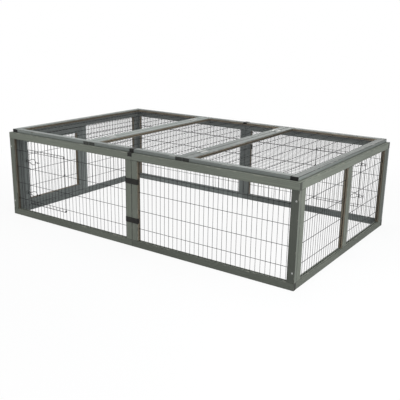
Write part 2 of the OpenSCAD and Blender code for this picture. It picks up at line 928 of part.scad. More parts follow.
front_left_top_rail();
front_left_bottom_rail();
front_left_corner_stile();
front_right_top_rail();
front_right_bottom_rail();
front_right_corner_stile();
back_left_top_rail();
back_left_bottom_rail();
back_left_corner_stile();
back_right_top_rail();
back_right_bottom_rail();
back_right_corner_stile();
front_middle_stiles();
back_middle_stiles();
left_end_top_rail();
left_end_bottom_rail();
left_end_front_stile();
left_end_back_stile();
left_end_centre_stile();
left_panel_rails();
left_panel_stiles();
right_end_top_rail();
right_end_bottom_rail();
right_end_front_stile();
right_end_back_stile();
right_end_centre_stile();
front_left_mesh();
front_right_mesh();
back_left_mesh();
back_right_mesh();
left_end_mesh();
left_panel_mesh();
right_end_mesh();
lid_left_cross_rails();
lid_left_outer_rail();
lid_left_inner_rail();
lid_middle_cross_rails();
lid_middle_left_rail();
lid_middle_right_rail();
lid_right_cross_rails();
lid_right_outer_rail();
lid_right_inner_rail();
lid_left_mesh();
lid_middle_mesh();
lid_right_mesh();
lid_left_hinge_leaves();
lid_middle_hinge_leaves();
lid_right_hinge_leaves();
lid_hinge_pins();
front_door();
back_door();
front_upper_bolt();
front_lower_bolt();
back_upper_bolt();
back_lower_bolt();
door_hinge_rings();
bolt_keepers();
post_clips();
lid_clips();
wood_screws();
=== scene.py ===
import json
import math
import random

import bmesh
import bpy
from mathutils import Matrix, Vector


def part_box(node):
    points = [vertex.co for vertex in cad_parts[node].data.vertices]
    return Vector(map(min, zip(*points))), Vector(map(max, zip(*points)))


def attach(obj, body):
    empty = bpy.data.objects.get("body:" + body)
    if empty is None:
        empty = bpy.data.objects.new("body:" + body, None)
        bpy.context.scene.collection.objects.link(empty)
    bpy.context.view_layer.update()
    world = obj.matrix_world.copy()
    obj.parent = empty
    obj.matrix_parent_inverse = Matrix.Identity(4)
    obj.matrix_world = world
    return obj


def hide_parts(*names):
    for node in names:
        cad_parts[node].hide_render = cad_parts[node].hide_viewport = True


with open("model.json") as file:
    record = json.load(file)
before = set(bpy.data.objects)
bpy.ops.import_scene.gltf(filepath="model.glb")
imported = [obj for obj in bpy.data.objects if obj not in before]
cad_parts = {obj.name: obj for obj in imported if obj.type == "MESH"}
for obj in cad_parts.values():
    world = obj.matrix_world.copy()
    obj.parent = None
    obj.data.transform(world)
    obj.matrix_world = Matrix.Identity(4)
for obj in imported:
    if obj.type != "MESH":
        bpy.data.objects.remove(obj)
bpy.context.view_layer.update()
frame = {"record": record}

X, Y, Z = Vector((1, 0, 0)), Vector((0, 1, 0)), Vector((0, 0, 1))
MM = 0.001
# Nearer than this counts as the same place
HAIR = MM / 20

# ---- sizes of the run, in metres ----

HALF_LENGTH = 0.890
HALF_DEPTH = 0.550
WALL_HEIGHT = 0.474
WALL_THICKNESS = 0.022
RAIL = 0.035
STILE = 0.036
END_STILE = 0.041
CENTRE_STILE = 0.048
SEAM = 0.001
GROOVE_DEPTH = 0.008
GROOVE_WIDTH = 0.0054
PANEL_RAIL = 0.036
PANEL_STILE = 0.040
PANEL_GAP = 0.0005
PANEL_ROWS = 3
WALL_ARRIS = 0.0022
LID_ARRIS = 0.0028
SAWN_BURR = 0.0006

CLOSE_WIRE = 0.0019
WIDE_WIRE = 0.0025
WELD_GAP = 0.00002
CLOSE_LAYER = (CLOSE_WIRE + WELD_GAP) / 2
WIDE_LAYER = -(WIDE_WIRE + WELD_GAP) / 2
CLOSE_PITCH = 0.025
WIDE_PITCH = 0.093
WIRE_SIDES = 8

LID_THICKNESS = 0.018
LID_INSET = 0.015
LID_SIDE = 0.038
LID_CROSS = 0.035
LID_SEAM = 0.002
LID_TOP = WALL_HEIGHT + LID_THICKNESS
LID_PITCH = ((HALF_LENGTH - LID_INSET) * 2 + LID_SEAM) / 3
SEAM_X = LID_PITCH / 2
LID_DEPTH = 2 * (HALF_DEPTH - LID_INSET)
CROSS_LENGTH = LID_PITCH - LID_SEAM - 2 * LID_SIDE

# Degrees of a bend that one flat of it spans
BEND_STEP = 15

# Doors, as places in front of the mesh
DOOR_WIRE = 0.003
DOOR_OVERLAP = 0.014
DOOR_GAP = 0.001
MESH_FRONT = CLOSE_WIRE + WELD_GAP / 2
DOOR_MIDDLE = MESH_FRONT + DOOR_GAP + DOOR_WIRE
DOOR_LAYER = DOOR_MIDDLE + WELD_GAP + CLOSE_WIRE / 2
BOLT_WIRE = 0.003
BOLT_CLEARANCE = 0.0003
BOLT_LAYER = DOOR_LAYER + CLOSE_WIRE / 2 + BOLT_CLEARANCE + BOLT_WIRE / 2
STAPLE_WIRE = 0.002
STAPLE_TOP = BOLT_LAYER + BOLT_WIRE / 2 + BOLT_CLEARANCE + STAPLE_WIRE / 2
STAPLE_BEND = 0.0017
PRONG = 0.006
PRONG_SPAN = PRONG + BOLT_WIRE / 2 + BOLT_CLEARANCE
TAIL_SPAN = BOLT_WIRE / 2 + BOLT_CLEARANCE
BOLT_REACH = 0.020
BOLT_TRAVEL = 0.012
BOLT_INSET = 0.048
RING_GAP = 0.0009
RING_LENGTH = 0.046
RING_HEIGHT = 0.033
NECK_BEND = 0.003
RING_WIRE = 0.0019
RING_TURNS = 3
RING_PLAY = 0.00005

# Clips, hinges and screws
POST_STRIP = 0.0025
POST_CLIP_HEIGHT = 0.0265
POST_CLIP_LEG = 0.010
POST_CLIP_PLAY = 0.0002
POST_CLIP_INSET = 0.138
POST_CLIP_BEND = 0.0024
POST_CLIP_BURR = 0.0005
LID_STRIP = 0.0015
LID_CLIP_WIDTH = 0.0255
LID_CLIP_DROP = 0.016
LID_CLIP_X = -0.009
LID_CLIP_END = 0.0002
LID_CLIP_BEND = 0.0015
LID_CLIP_BURR = 0.0004
HINGE_Y = HALF_DEPTH - LID_INSET - 0.165
HINGE_LENGTH = 0.048
LEAF_WIDTH = 0.021
LEAF = 0.0015
LEAF_CORNER = 0.0035
LEAF_BURR = 0.0003
KNUCKLE_RADIUS = 0.0032
KNUCKLE_GAP = 0.0004
KNUCKLE_BURR = 0.0002
KNUCKLE_ROLL = 305
PIN_HEIGHT = KNUCKLE_RADIUS + KNUCKLE_GAP
PIN = 0.003
PIN_SIDES = 16
LEAF_SCREW_X = (LEAF_WIDTH + PIN_HEIGHT) / 2
LEAF_SCREW_STEP = 0.015
LEAF_HEAD, LEAF_SHANK = 0.0054, 0.003
CORNER_SCREW_Z = 0.0795
CORNER_HEAD, CORNER_SHANK = 0.008, 0.004
# Degrees that the recess turns from screw to screw, for each metre between them, and
# where it stands in the middle of a leaf
LEAF_SCREW_TURN = 900
LEAF_SCREW_FIRST = 20
CORNER_SCREW_TURN = 2000

# ---- modelling by hand ----


def deselect_all():
    if bpy.context.object and bpy.context.object.mode != "OBJECT":
        bpy.ops.object.mode_set(mode="OBJECT")
    bpy.ops.object.select_all(action="DESELECT")


def take(piece):
    """Makes a piece the only one in hand."""
    deselect_all()
    piece.select_set(True)
    bpy.context.view_layer.objects.active = piece


def settle():
    """Writes the place of the piece in hand into its mesh."""
    bpy.ops.object.transform_apply(location=True, rotation=True, scale=True)


def place(piece, matrix):
    take(piece)
    piece.matrix_world = matrix @ piece.matrix_world
    settle()
    return piece


def turned(degrees, axis="Z"):
    """A turn about an axis through the origin."""
    return Matrix.Rotation(math.radians(degrees), 4, axis)


def copy_of(piece, name):
    """A second piece off the same bench, with a mesh of its own."""
    twin = piece.copy()
    twin.data = piece.data.copy()
    twin.name = twin.data.name = name
    bpy.context.scene.collection.objects.link(twin)
    return twin


def joined(name, pieces):
    deselect_all()
    for piece in pieces:
        piece.select_set(True)
    bpy.context.view_layer.objects.active = pieces[0]
    if len(pieces) > 1:
        bpy.ops.object.join()
    pieces[0].name = pieces[0].data.name = name
    return pieces[0]


def edit(piece):
    take(piece)
    bpy.ops.object.mode_set(mode="EDIT")
    bpy.ops.mesh.select_mode(type="FACE")


def pick(piece, kind, test):
    """In edit mode, selects only the faces, edges or corners that pass the test."""
    bpy.ops.mesh.select_mode(type=kind)
    bpy.ops.mesh.select_all(action="DESELECT")
    form = bmesh.from_edit_mesh(piece.data)
    parts = {"FACE": form.faces, "EDGE": form.edges, "VERT": form.verts}[kind]
    for part in parts:
        if test(part):
            part.select_set(True)
    form.select_flush_mode()
    bmesh.update_edit_mesh(piece.data)


def done_editing():
    bpy.ops.object.mode_set(mode="OBJECT")


def smooth(piece, degrees=50):
    take(piece)
    bpy.ops.object.shade_smooth_by_angle(angle=math.radians(degrees))


def keep_flats_flat(piece):
    """Rounds only the arrises in the shading, so that broad faces stay flat."""
    smooth(piece)
    weighted = piece.modifiers.new("flats", "WEIGHTED_NORMAL")
    weighted.weight = 100
    weighted.keep_sharp = True
    bpy.ops.object.modifier_apply(modifier=weighted.name)


def block(low, high):
    """A squared block between two corners."""
    deselect_all()
    low, high = Vector(low), Vector(high)
    bpy.ops.mesh.primitive_cube_add(size=1, location=(low + high) / 2, scale=high - low)
    settle()
    return bpy.context.object


def repeated(piece, count, step):
    """Copies a piece along a line, each copy one step on."""
    if count < 2:
        return piece
    take(piece)
    row = piece.modifiers.new("row", "ARRAY")
    row.use_relative_offset = False
    row.use_constant_offset = True
    row.constant_offset_displace = step
    row.count = count
    bpy.ops.object.modifier_apply(modifier=row.name)
    return piece


def pull(way):
    """In edit mode, draws new walls out of the faces in hand, which move that way."""
    bpy.ops.mesh.extrude_region_move(TRANSFORM_OT_translate={"value": way})


def narrow(share):
    """In edit mode, draws what is in hand in towards the upright axis."""
    bpy.ops.transform.resize(value=(share, share, 1), center_override=(0, 0, 0))


def face_outwards():
    """In edit mode, turns every face outwards."""
    bpy.ops.mesh.select_all(action="SELECT")
    bpy.ops.mesh.normals_make_consistent(inside=False)


def give_slot(piece, slot):
    """In edit mode, puts the faces in hand in a material slot."""
    piece.active_material_index = slot
    bpy.ops.object.material_slot_assign()


# ---- timber ----

# The material slots of a board
FACES, GROOVE_EDGE, ENDS, OUTER_EDGE = range(4)


def board(length, width, thickness, arris, grooves):
    """A planed board along x, centred, with a mesh groove in its +y edge, or in both."""
    corner = Vector((length, width, thickness)) / 2
    piece = block(-corner, corner)
    for _ in (FACES, GROOVE_EDGE, ENDS, OUTER_EDGE):
        piece.data.materials.append(None)
    edit(piece)
    # The four long arrises are rounded, then the sawn ends lose their burr
    pick(piece, "EDGE", lambda e: abs((e.verts[0].co - e.verts[1].co).x) > length / 2)
    bpy.ops.mesh.bevel(offset=arris, segments=3, profile=0.5, affect="EDGES")
    pick(piece, "EDGE", lambda e: all(abs(v.co.x) > length / 2 - HAIR for v in e.verts))
    bpy.ops.mesh.bevel(offset=SAWN_BURR, segments=2, profile=0.5, affect="EDGES")
    pick(piece, "FACE", lambda f: abs(f.normal.x) > 0.95)
    give_slot(piece, ENDS)
    pick(piece, "FACE", lambda f: f.normal.y < -0.99)
    give_slot(piece, OUTER_EDGE)
    for side in grooves:
        broad = length * thickness / 3
        pick(piece, "FACE", lambda f: f.normal.y * side > 0.99 and f.calc_area() > broad)
        give_slot(piece, GROOVE_EDGE)
        bpy.ops.mesh.inset(thickness=(thickness - 2 * arris - GROOVE_WIDTH) / 2)
        pull(Y * (-side * GROOVE_DEPTH))
    done_editing()
    keep_flats_flat(piece)
    # The rounded arrises wear, gather grime and carry painted shade for the joints between
    # boards
    arris_wear_and_shade = piece.data.attributes.new("arris_wear_and_shade", "FLOAT", "POINT")
    for v, value in zip(piece.data.vertices, arris_wear_and_shade.data):
        off_y = abs(abs(v.co.y) - width / 2) > HAIR
        off_z = abs(abs(v.co.z) - thickness / 2) > HAIR
        in_groove = abs(v.co.z) < GROOVE_WIDTH
        value.value = 1.0 if off_y and off_z and not in_groove else 0.0
    return piece


# How far along the tree a board may come from, and how far from its heart, either way
TREE_LENGTH = 9
HEART_ACROSS = (0.014, 0.050)
HEART_THROUGH = (0.010, 0.060)


def lay_grain(piece, centre, along, across, tone_and_shade, chance):
    """Stores where each point lies in the tree: along, across and through the grain."""
    inwards = along.cross(across)
    shift = Vector((
        chance.uniform(0, TREE_LENGTH),
        chance.uniform(*HEART_ACROSS) * chance.choice((-1, 1)),
        chance.uniform(*HEART_THROUGH) * chance.choice((-1, 1)),
    ))
    marks = piece.data.attributes
    marks.new("grain", "FLOAT_VECTOR", "POINT")
    # The tone is partly the glaze's own colour and partly painted light and shade for where
    # the board stands
    marks.new("tone_and_shade", "FLOAT", "POINT")
    for v, g, s in zip(piece.data.vertices, marks["grain"].data, marks["tone_and_shade"].data):
        p = v.co - centre
        g.vector = Vector((p.dot(along), p.dot(across), p.dot(inwards))) + shift
        s.value = tone_and_shade


BOARDS = {}


def cut_board(kind, node, low, high, along, inner, tone_and_shade, chance):
    """A copy of a board from the pile, laid between two corners and glazed."""
    centre = (low + high) / 2
    piece = copy_of(BOARDS[kind], node + "_timber")
    axes = Matrix((along, inner, along.cross(inner))).transposed().to_4x4()
    place(piece, Matrix.Translation(centre) @ axes)
    lay_grain(piece, centre, along, inner, tone_and_shade, chance)
    finish_board(piece, kind, node)
    return piece


# Which way each timber lies, the side that holds its mesh, its board, and its tone from dark
# to pale. The tone is partly how its glaze came out and partly painted light and shade
# fitted to each piece: darker on the bottom rails and the front right corner stile, paler
# inside the back and left walls.
TIMBERS = {
    "front_left_top_rail": (X, -Z, "wall_rail", 0.93),
    "front_left_bottom_rail": (X, Z, "wall_rail", 0.64),
    "front_left_corner_stile": (Z, X, "stile", 0.66),
    "front_right_top_rail": (X, -Z, "wall_rail", 0.86),
    "front_right_bottom_rail": (X, Z, "wall_rail", 0.54),
    "front_right_corner_stile": (Z, -X, "stile", 0.36),
    "back_left_top_rail": (X, -Z, "wall_rail", 1.18),
    "back_left_bottom_rail": (X, Z, "wall_rail", 1.16),
    "back_left_corner_stile": (Z, X, "stile", 1.25),
    "back_right_top_rail": (X, -Z, "wall_rail", 1.16),
    "back_right_bottom_rail": (X, Z, "wall_rail", 0.78),
    "back_right_corner_stile": (Z, -X, "stile", 0.90),
    "left_end_top_rail": (Y, -Z, "end_rail", 1.12),
    "left_end_bottom_rail": (Y, Z, "end_rail", 1.00),
    "left_end_front_stile": (Z, Y, "plain_end_stile", 0.85),
    "left_end_back_stile": (Z, -Y, "end_stile", 0.97),
    "left_end_centre_stile": (Z, Y, "stile", 1.38),
    "right_end_top_rail": (Y, -Z, "end_rail", 0.92),
    "right_end_bottom_rail": (Y, Z, "end_rail", 0.62),
    "right_end_front_stile": (Z, Y, "end_stile", 0.83),
    "right_end_back_stile": (Z, -Y, "end_stile", 0.50),
    "right_end_centre_stile": (Z, Y, "centre_stile", 0.78),
    "lid_left_outer_rail": (Y, X, "lid_side", 0.95),
    "lid_left_inner_rail": (Y, -X, "lid_side", 1.17),
    "lid_middle_left_rail": (Y, X, "lid_side", 1.14),
    "lid_middle_right_rail": (Y, -X, "lid_side", 0.70),
    "lid_right_outer_rail": (Y, -X, "lid_side", 0.47),
    "lid_right_inner_rail": (Y, X, "lid_side", 0.74),
}
# Two timbers under one name: which way they lie, the way from one to the other, their width
# that way, the side of the first that holds its mesh, their board and their tones, partly
# glaze and partly painted light and shade
PAIRS = {
    "front_middle_stiles": (Z, X, STILE, -1, "stile", (0.86, 0.90)),
    "back_middle_stiles": (Z, X, STILE, -1, "stile", (0.88, 0.90)),
    "left_panel_rails": (Y, Z, PANEL_RAIL, 1, "panel_rail", (1.05, 1.08)),
    "left_panel_stiles": (Z, Y, PANEL_STILE, 1, "panel_stile", (1.08, 1.16)),
    "lid_left_cross_rails": (X, Y, LID_CROSS, 1, "lid_cross", (0.94, 0.74)),
    "lid_middle_cross_rails": (X, Y, LID_CROSS, 1, "lid_cross", (0.87, 0.75)),
    "lid_right_cross_rails": (X, Y, LID_CROSS, 1, "lid_cross", (0.79, 0.71)),
}
# The boards whose outer edge at the right-hand end is painted paler than their faces:
# painted light from the lamp on that side
PAINTED_LIT_EDGES = {
    "front_right_corner_stile": "painted_lit_edge",
    "lid_right_outer_rail": "painted_lit_lid_edge",
}


def body_holding(node):
    for body, nodes in frame["record"]["behaviour"]["bodies"].items():
        if node in nodes:
            return body
    return "run"


def saw_boards():
    wall = (WALL_THICKNESS, WALL_ARRIS)
    lid = (LID_THICKNESS, LID_ARRIS)
    bay = WALL_HEIGHT - 2 * RAIL
    end = 2 * (HALF_DEPTH - WALL_THICKNESS)
    panel_length = end / 2 - END_STILE - STILE + CENTRE_STILE / 2 - 2 * PANEL_GAP
    panel_height = bay - PANEL_GAP - 2 * PANEL_RAIL
    for kind, length, width, section, grooves in (
        ("wall_rail", HALF_LENGTH - SEAM / 2, RAIL, wall, [1]),
        ("end_rail", end, RAIL, wall, [1]),
        ("stile", bay, STILE, wall, [1]),
        ("end_stile", bay, END_STILE, wall, [1]),
        ("plain_end_stile", bay, END_STILE, wall, []),
        ("centre_stile", bay, CENTRE_STILE, wall, [1, -1]),
        ("panel_rail", panel_length, PANEL_RAIL, wall, [1]),
        ("panel_stile", panel_height, PANEL_STILE, wall, [1]),
        ("lid_side", LID_DEPTH, LID_SIDE, lid, [1]),
        ("lid_cross", CROSS_LENGTH, LID_CROSS, lid, [1]),
    ):
        BOARDS[kind] = board(length, width, *section, grooves)


def without_tongues(low, high, along, kind):
    """The ends of a timber, without the tongues that stiles and cross rails have inside
    the rails beside them."""
    tongue = along * (GROOVE_DEPTH if kind.endswith(("stile", "cross")) else 0)
    return low + tongue, high - tongue


def make_timber():
    saw_boards()
    chance = random.Random(8)
    made = []
    for node, (along, inner, kind, tone_and_shade) in TIMBERS.items():
        low, high = without_tongues(*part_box(node), along, kind)
        piece = cut_board(kind, node, low, high, along, inner, tone_and_shade, chance)
        made.append((piece, node, kind))
    for node, (along, way, width, mesh_side, kind, tones_and_shade) in PAIRS.items():
        low, high = without_tongues(*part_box(node), along, kind)
        room = way * ((high - low).dot(way) - width)
        inner = way * mesh_side
        first = cut_board(kind, node, low, high - room, along, inner, tones_and_shade[0], chance)
        second = cut_board(kind, node, low + room, high, along, -inner, tones_and_shade[1], chance)
        made.append((joined(node + "_timber", [first, second]), node, kind))
    for piece, node, kind in made:
        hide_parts(node)
        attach(piece, body_holding(node))
    for pattern in BOARDS.values():
        bpy.data.objects.remove(pattern)


def finish_board(piece, kind, node):
    """Gives a board its glazed faces, edge with the groove, sawn ends and outer edge."""
    if kind.startswith("lid"):
        glaze = "lid_glaze"
        # The ends of the lid's outer rails are painted near black: dark end grain with
        # painted shade over it
        ends = "painted_shade_sawn_end" if "outer" in node else "seam_end"
    else:
        # The left and back walls get a bluer copy of the wall glaze, as painted light: the
        # cool light on their inside faces
        glaze = "bluish_lit_glaze" if node.startswith(("left_", "back_")) else "wall_glaze"
        ends = "glazed_end"
    if "bottom" in node:
        groove_edge = glaze
    else:
        groove_edge = "clean_bare_edge" if kind == "lid_cross" else "bare_edge"
    looks = {
        FACES: glaze,
        GROOVE_EDGE: groove_edge,
        ENDS: ends,
        # Those boards' outer edges get a paler glaze, as painted light
        OUTER_EDGE: PAINTED_LIT_EDGES.get(node, glaze),
    }
    for slot, look in looks.items():
        piece.data.materials[slot] = FINISH[look]


# ---- wire ----

# The flat of a cut end, and how far the cutter draws it in, as shares of the wire's radius
END_RIM = 0.4
END_HOLLOW = 0.02


def straight_wire(start, end, thickness, sides=WIRE_SIDES):
    """A cut length of wire, its two ends a little hollow."""
    deselect_all()
    start, end = Vector(start), Vector(end)
    run = end - start
    radius = thickness / 2
    bpy.ops.mesh.primitive_cylinder_add(
        vertices=sides, radius=radius, depth=run.length, location=(start + end) / 2,
        rotation=run.to_track_quat("Z", "Y").to_euler(),
    )
    piece = bpy.context.object
    settle()
    edit(piece)
    heading = run.normalized()
    pick(piece, "FACE", lambda f: abs(f.normal.dot(heading)) > 0.9)
    bpy.ops.mesh.inset(thickness=radius * END_RIM, use_individual=True)
    for side in (-1, 1):
        pick(piece, "FACE", lambda f: f.normal.dot(heading) * side > 0.99)
        bpy.ops.transform.translate(value=heading * (-side * radius * END_HOLLOW))
    done_editing()
    smooth(piece)
    return piece


def swept(heading, spot, moves):
    """Carries the end face in hand along the moves of a bender. A move is a length straight
    on, or an angle, a bend radius and the axis of the bend."""
    for move in moves:
        if isinstance(move, float):
            pull(heading * move)
            spot = spot + heading * move
            continue
        degrees, bend, axis = move
        angle = math.radians(degrees)
        side = axis.cross(heading) * math.copysign(bend, angle)
        # The spin tool turns the other way round its axis
        steps = max(2, round(abs(degrees) / BEND_STEP))
        bpy.ops.mesh.spin(steps=steps, angle=-angle, center=spot + side, axis=axis)
        turn = Matrix.Rotation(angle, 3, axis)
        spot = spot + side - turn @ side
        heading = turn @ heading


def through(corners, bend):
    """Start, heading and moves of a bar that turns at each inner corner."""
    corners = [Vector(corner) for corner in corners]
    legs = [b - a for a, b in zip(corners, corners[1:])]
    moves, used = [], 0.0
    for leg, following in zip(legs, legs[1:]):
        turn = leg.angle(following)
        setback = bend * math.tan(turn / 2)
        moves.append(leg.length - used - setback)
        moves.append((math.degrees(turn), bend, leg.cross(following).normalized()))
        used = setback
    moves.append(legs[-1].length - used)
    return corners[0], legs[0].normalized(), moves


def bent_wire(start, heading, moves, thickness, closed=False):
    """A round wire bent on a jig."""
    deselect_all()
    spot = Vector(start)
    radius = thickness / 2
    bpy.ops.mesh.primitive_circle_add(
        vertices=WIRE_SIDES, radius=radius, fill_type="NGON", location=spot,
        rotation=heading.to_track_quat("Z", "Y").to_euler(),
    )
    piece = bpy.context.object
    settle()
    edit(piece)
    bpy.ops.mesh.select_all(action="SELECT")
    swept(heading, spot, moves)
    if closed:
        # The two end faces meet, and the wire is welded there
        pick(
            piece,
            "FACE",
            lambda f: abs(f.normal.dot(heading)) > 0.99
            and (f.calc_center_median() - spot).length < radius / 4,
        )
        bpy.ops.mesh.delete(type="FACE")
        bpy.ops.mesh.select_all(action="SELECT")
        bpy.ops.mesh.remove_doubles(threshold=HAIR)
    else:
        bpy.ops.mesh.inset(thickness=radius * END_RIM)
    face_outwards()
    done_editing()
    smooth(piece)
    return piece


def soften(piece, width):
    """Takes the sharpness off every hard edge."""
    take(piece)
    edge = piece.modifiers.new("edges", "BEVEL")
    edge.width = width
    edge.segments = 2
    edge.limit_method = "ANGLE"
    edge.angle_limit = math.radians(40)
    bpy.ops.object.modifier_apply(modifier=edge.name)
    keep_flats_flat(piece)
    return piece


def swept_strip(start, heading, moves, across, width, thickness, burr):
    """A flat strip bent by the moves of a bender, which lie square to the way across."""
    deselect_all()
    bpy.ops.mesh.primitive_plane_add(size=1)
    piece = bpy.context.object
    axes = Matrix((across.cross(heading), across, heading)).transposed().to_4x4()
    section = Matrix.Diagonal((thickness, width, 1, 1))
    piece.matrix_world = Matrix.Translation(start) @ axes @ section
    settle()
    edit(piece)
    bpy.ops.mesh.select_all(action="SELECT")
    swept(heading, start, moves)
    face_outwards()
    done_editing()
    return soften(piece, burr)


def wire_lines(low, high, pitch):
    """Evenly spaced places between two edges, laid out from the middle."""
    count = round((high - low) / pitch)
    middle = (low + high) / 2
    return [middle + (i - (count - 1) / 2) * pitch for i in range(count)]


def wire_row(along, across, places, low, high, depth, thickness):
    """Wires of one layer, evenly spaced."""
    foot = across * places[0] + Z * depth
    first = straight_wire(foot + along * low, foot + along * high, thickness)
    step = places[1] - places[0] if len(places) > 1 else 0
    return repeated(first, len(places), across * step)


def wires_up(places, low, high, depth, thickness):
    """Wires along y, evenly spaced along x."""
    return wire_row(Y, X, places, low, high, depth, thickness)


def wires_across(places, left, right, depth, thickness):
    """Wires along x, evenly spaced along y."""
    return wire_row(X, Y, places, left, right, depth, thickness)


# Frames of the panels: x to the right, y up and z outwards from the mesh
QUARTER = turned(90, "X")
FRONT = Matrix.Translation((0, WALL_THICKNESS / 2 - HALF_DEPTH, 0)) @ QUARTER
LEFT_END = (
    turned(-90) @ Matrix.Translation((0, WALL_THICKNESS / 2 - HALF_LENGTH, 0)) @ QUARTER
)
LID = Matrix.Translation((0, 0, WALL_HEIGHT + LID_THICKNESS / 2))
HALF_TURN = turned(180)

WIRE_LOW = RAIL - GROOVE_DEPTH
WIRE_HIGH = WALL_HEIGHT - RAIL + GROOVE_DEPTH
BAY_LEFT = STILE - HALF_LENGTH
BAY_RIGHT = -SEAM / 2 - STILE
COLUMNS = wire_lines(BAY_LEFT, BAY_RIGHT, CLOSE_PITCH)
ROWS = wire_lines(RAIL, WALL_HEIGHT - RAIL, WIDE_PITCH)
# The columns of mesh in line with the latch side and the hinge side of a door
LATCH, HINGE = 4, 15
DOOR_LATCH_X, DOOR_HINGE_X = COLUMNS[LATCH], COLUMNS[HINGE]


def framed_sheet(left, right, low, high, rows):
    places = wire_lines(left, right, CLOSE_PITCH)
    return [
        wires_up(places, low - GROOVE_DEPTH, high + GROOVE_DEPTH, CLOSE_LAYER, CLOSE_WIRE),
        wires_across(
            rows, left - GROOVE_DEPTH, right + GROOVE_DEPTH, WIDE_LAYER, WIDE_WIRE
        ),
    ]


def wall_sheet(left, right):
    return framed_sheet(left, right, RAIL, WALL_HEIGHT - RAIL, ROWS)


def panel_sheet():
    left = STILE - CENTRE_STILE / 2 + PANEL_GAP + PANEL_STILE
    right = HALF_DEPTH - WALL_THICKNESS - END_STILE - PANEL_GAP - PANEL_STILE
    low, high = RAIL + PANEL_RAIL, WALL_HEIGHT - RAIL - PANEL_GAP - PANEL_RAIL
    middle = (low + high) / 2
    rows = [middle + (i - (PANEL_ROWS - 1) / 2) * WIDE_PITCH for i in range(PANEL_ROWS)]
    return framed_sheet(left, right, low, high, rows)


def doorway_sheet():
    left, right = BAY_LEFT - GROOVE_DEPTH, BAY_RIGHT + GROOVE_DEPTH
    upright = (CLOSE_LAYER, CLOSE_WIRE)
    level = (WIDE_LAYER, WIDE_WIRE)
    inside = COLUMNS[LATCH + 1:HINGE]
    return [
        wires_up(COLUMNS[:LATCH + 1], WIRE_LOW, WIRE_HIGH, *upright),
        wires_up(COLUMNS[HINGE:], WIRE_LOW, WIRE_HIGH, *upright),
        wires_up(inside, WIRE_LOW, ROWS[0] + WIDE_WIRE / 2, *upright),
        wires_up(inside, ROWS[-1] - WIDE_WIRE / 2, WIRE_HIGH, *upright),
        wires_across([ROWS[0], ROWS[-1]], left, right, *level),
        wires_across(ROWS[1:-1], left, DOOR_LATCH_X + CLOSE_WIRE / 2, *level),
        wires_across(ROWS[1:-1], DOOR_HINGE_X - CLOSE_WIRE / 2, right, *level),
    ]


def lid_sheet():
    reach_x = CROSS_LENGTH / 2 + GROOVE_DEPTH
    reach_y = LID_DEPTH / 2 - LID_CROSS
    side = CROSS_LENGTH / 2
    return [
        wires_across(
            wire_lines(-reach_y, reach_y, CLOSE_PITCH), -reach_x, reach_x, CLOSE_LAYER,
            CLOSE_WIRE,
        ),
        wires_up(
            wire_lines(-side, side, WIDE_PITCH), -reach_y - GROOVE_DEPTH,
            reach_y + GROOVE_DEPTH, WIDE_LAYER, WIDE_WIRE,
        ),
    ]


def wear_finish(piece, finish, node, slot=None):
    """Gives a piece its finish, the node it stands for and the body it moves with. Its slot
    argument is not used."""
    slot = slot or finish
    piece.data.materials.clear()
    piece.data.materials.append(FINISH[finish])
    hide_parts(node)
    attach(piece, body_holding(node))


def make_meshes():
    outer = HALF_DEPTH - WALL_THICKNESS - END_STILE
    inner = CENTRE_STILE / 2
    doorway = place(joined("doorway_sheet", doorway_sheet()), FRONT)
    plain = place(joined("plain_sheet", wall_sheet(-BAY_RIGHT, -BAY_LEFT)), FRONT)
    end_back = place(joined("end_sheet", wall_sheet(-outer, -inner)), LEFT_END)
    end_both = place(
        joined("end_sheets", wall_sheet(-outer, -inner) + wall_sheet(inner, outer)), LEFT_END
    )
    panel = place(joined("panel_sheet", panel_sheet()), LEFT_END)
    lid = place(joined("lid_sheet", lid_sheet()), LID)
    sheets = {
        "front_left_mesh": (doorway, Matrix()),
        "front_right_mesh": (plain, Matrix()),
        "back_left_mesh": (plain, HALF_TURN),
        "back_right_mesh": (doorway, HALF_TURN),
        "left_end_mesh": (end_back, Matrix()),
        "left_panel_mesh": (panel, Matrix()),
        "right_end_mesh": (end_both, HALF_TURN),
        "lid_left_mesh": (lid, Matrix.Translation((-LID_PITCH, 0, 0))),
        "lid_middle_mesh": (lid, Matrix()),
        "lid_right_mesh": (lid, Matrix.Translation((LID_PITCH, 0, 0))),
    }
    for node, (sheet, turn) in sheets.items():
        piece = place(copy_of(sheet, node + "_wires"), turn)
        wear_finish(piece, "black_wire", node, "mesh_wire")
    for sheet in (doorway, plain, end_back, end_both, panel, lid):
        bpy.data.objects.remove(sheet)


# ---- doors and bolts ----


def staple(x, y, half_span, foot):
    """A wire staple that stands over something at height y."""
    arm = half_span + STAPLE_WIRE / 2
    corners = (
        (x, y - arm, foot), (x, y - arm, STAPLE_TOP), (x, y + arm, STAPLE_TOP),
        (x, y + arm, foot),
    )
    return bent_wire(*through(corners, STAPLE_BEND), STAPLE_WIRE)


BOLT_HEIGHTS = {"lower": ROWS[0] + BOLT_INSET, "upper": ROWS[-1] - BOLT_INSET}
RING_LEFT = DOOR_LATCH_X + BOLT_TRAVEL + STAPLE_WIRE / 2 + RING_GAP
RING_RIGHT = RING_LEFT + RING_LENGTH
TAIL_GUIDE_X = COLUMNS[LATCH + math.ceil((RING_RIGHT - DOOR_LATCH_X) / CLOSE_PITCH)]
TAIL_END = TAIL_GUIDE_X + BOLT_TRAVEL + STAPLE_WIRE


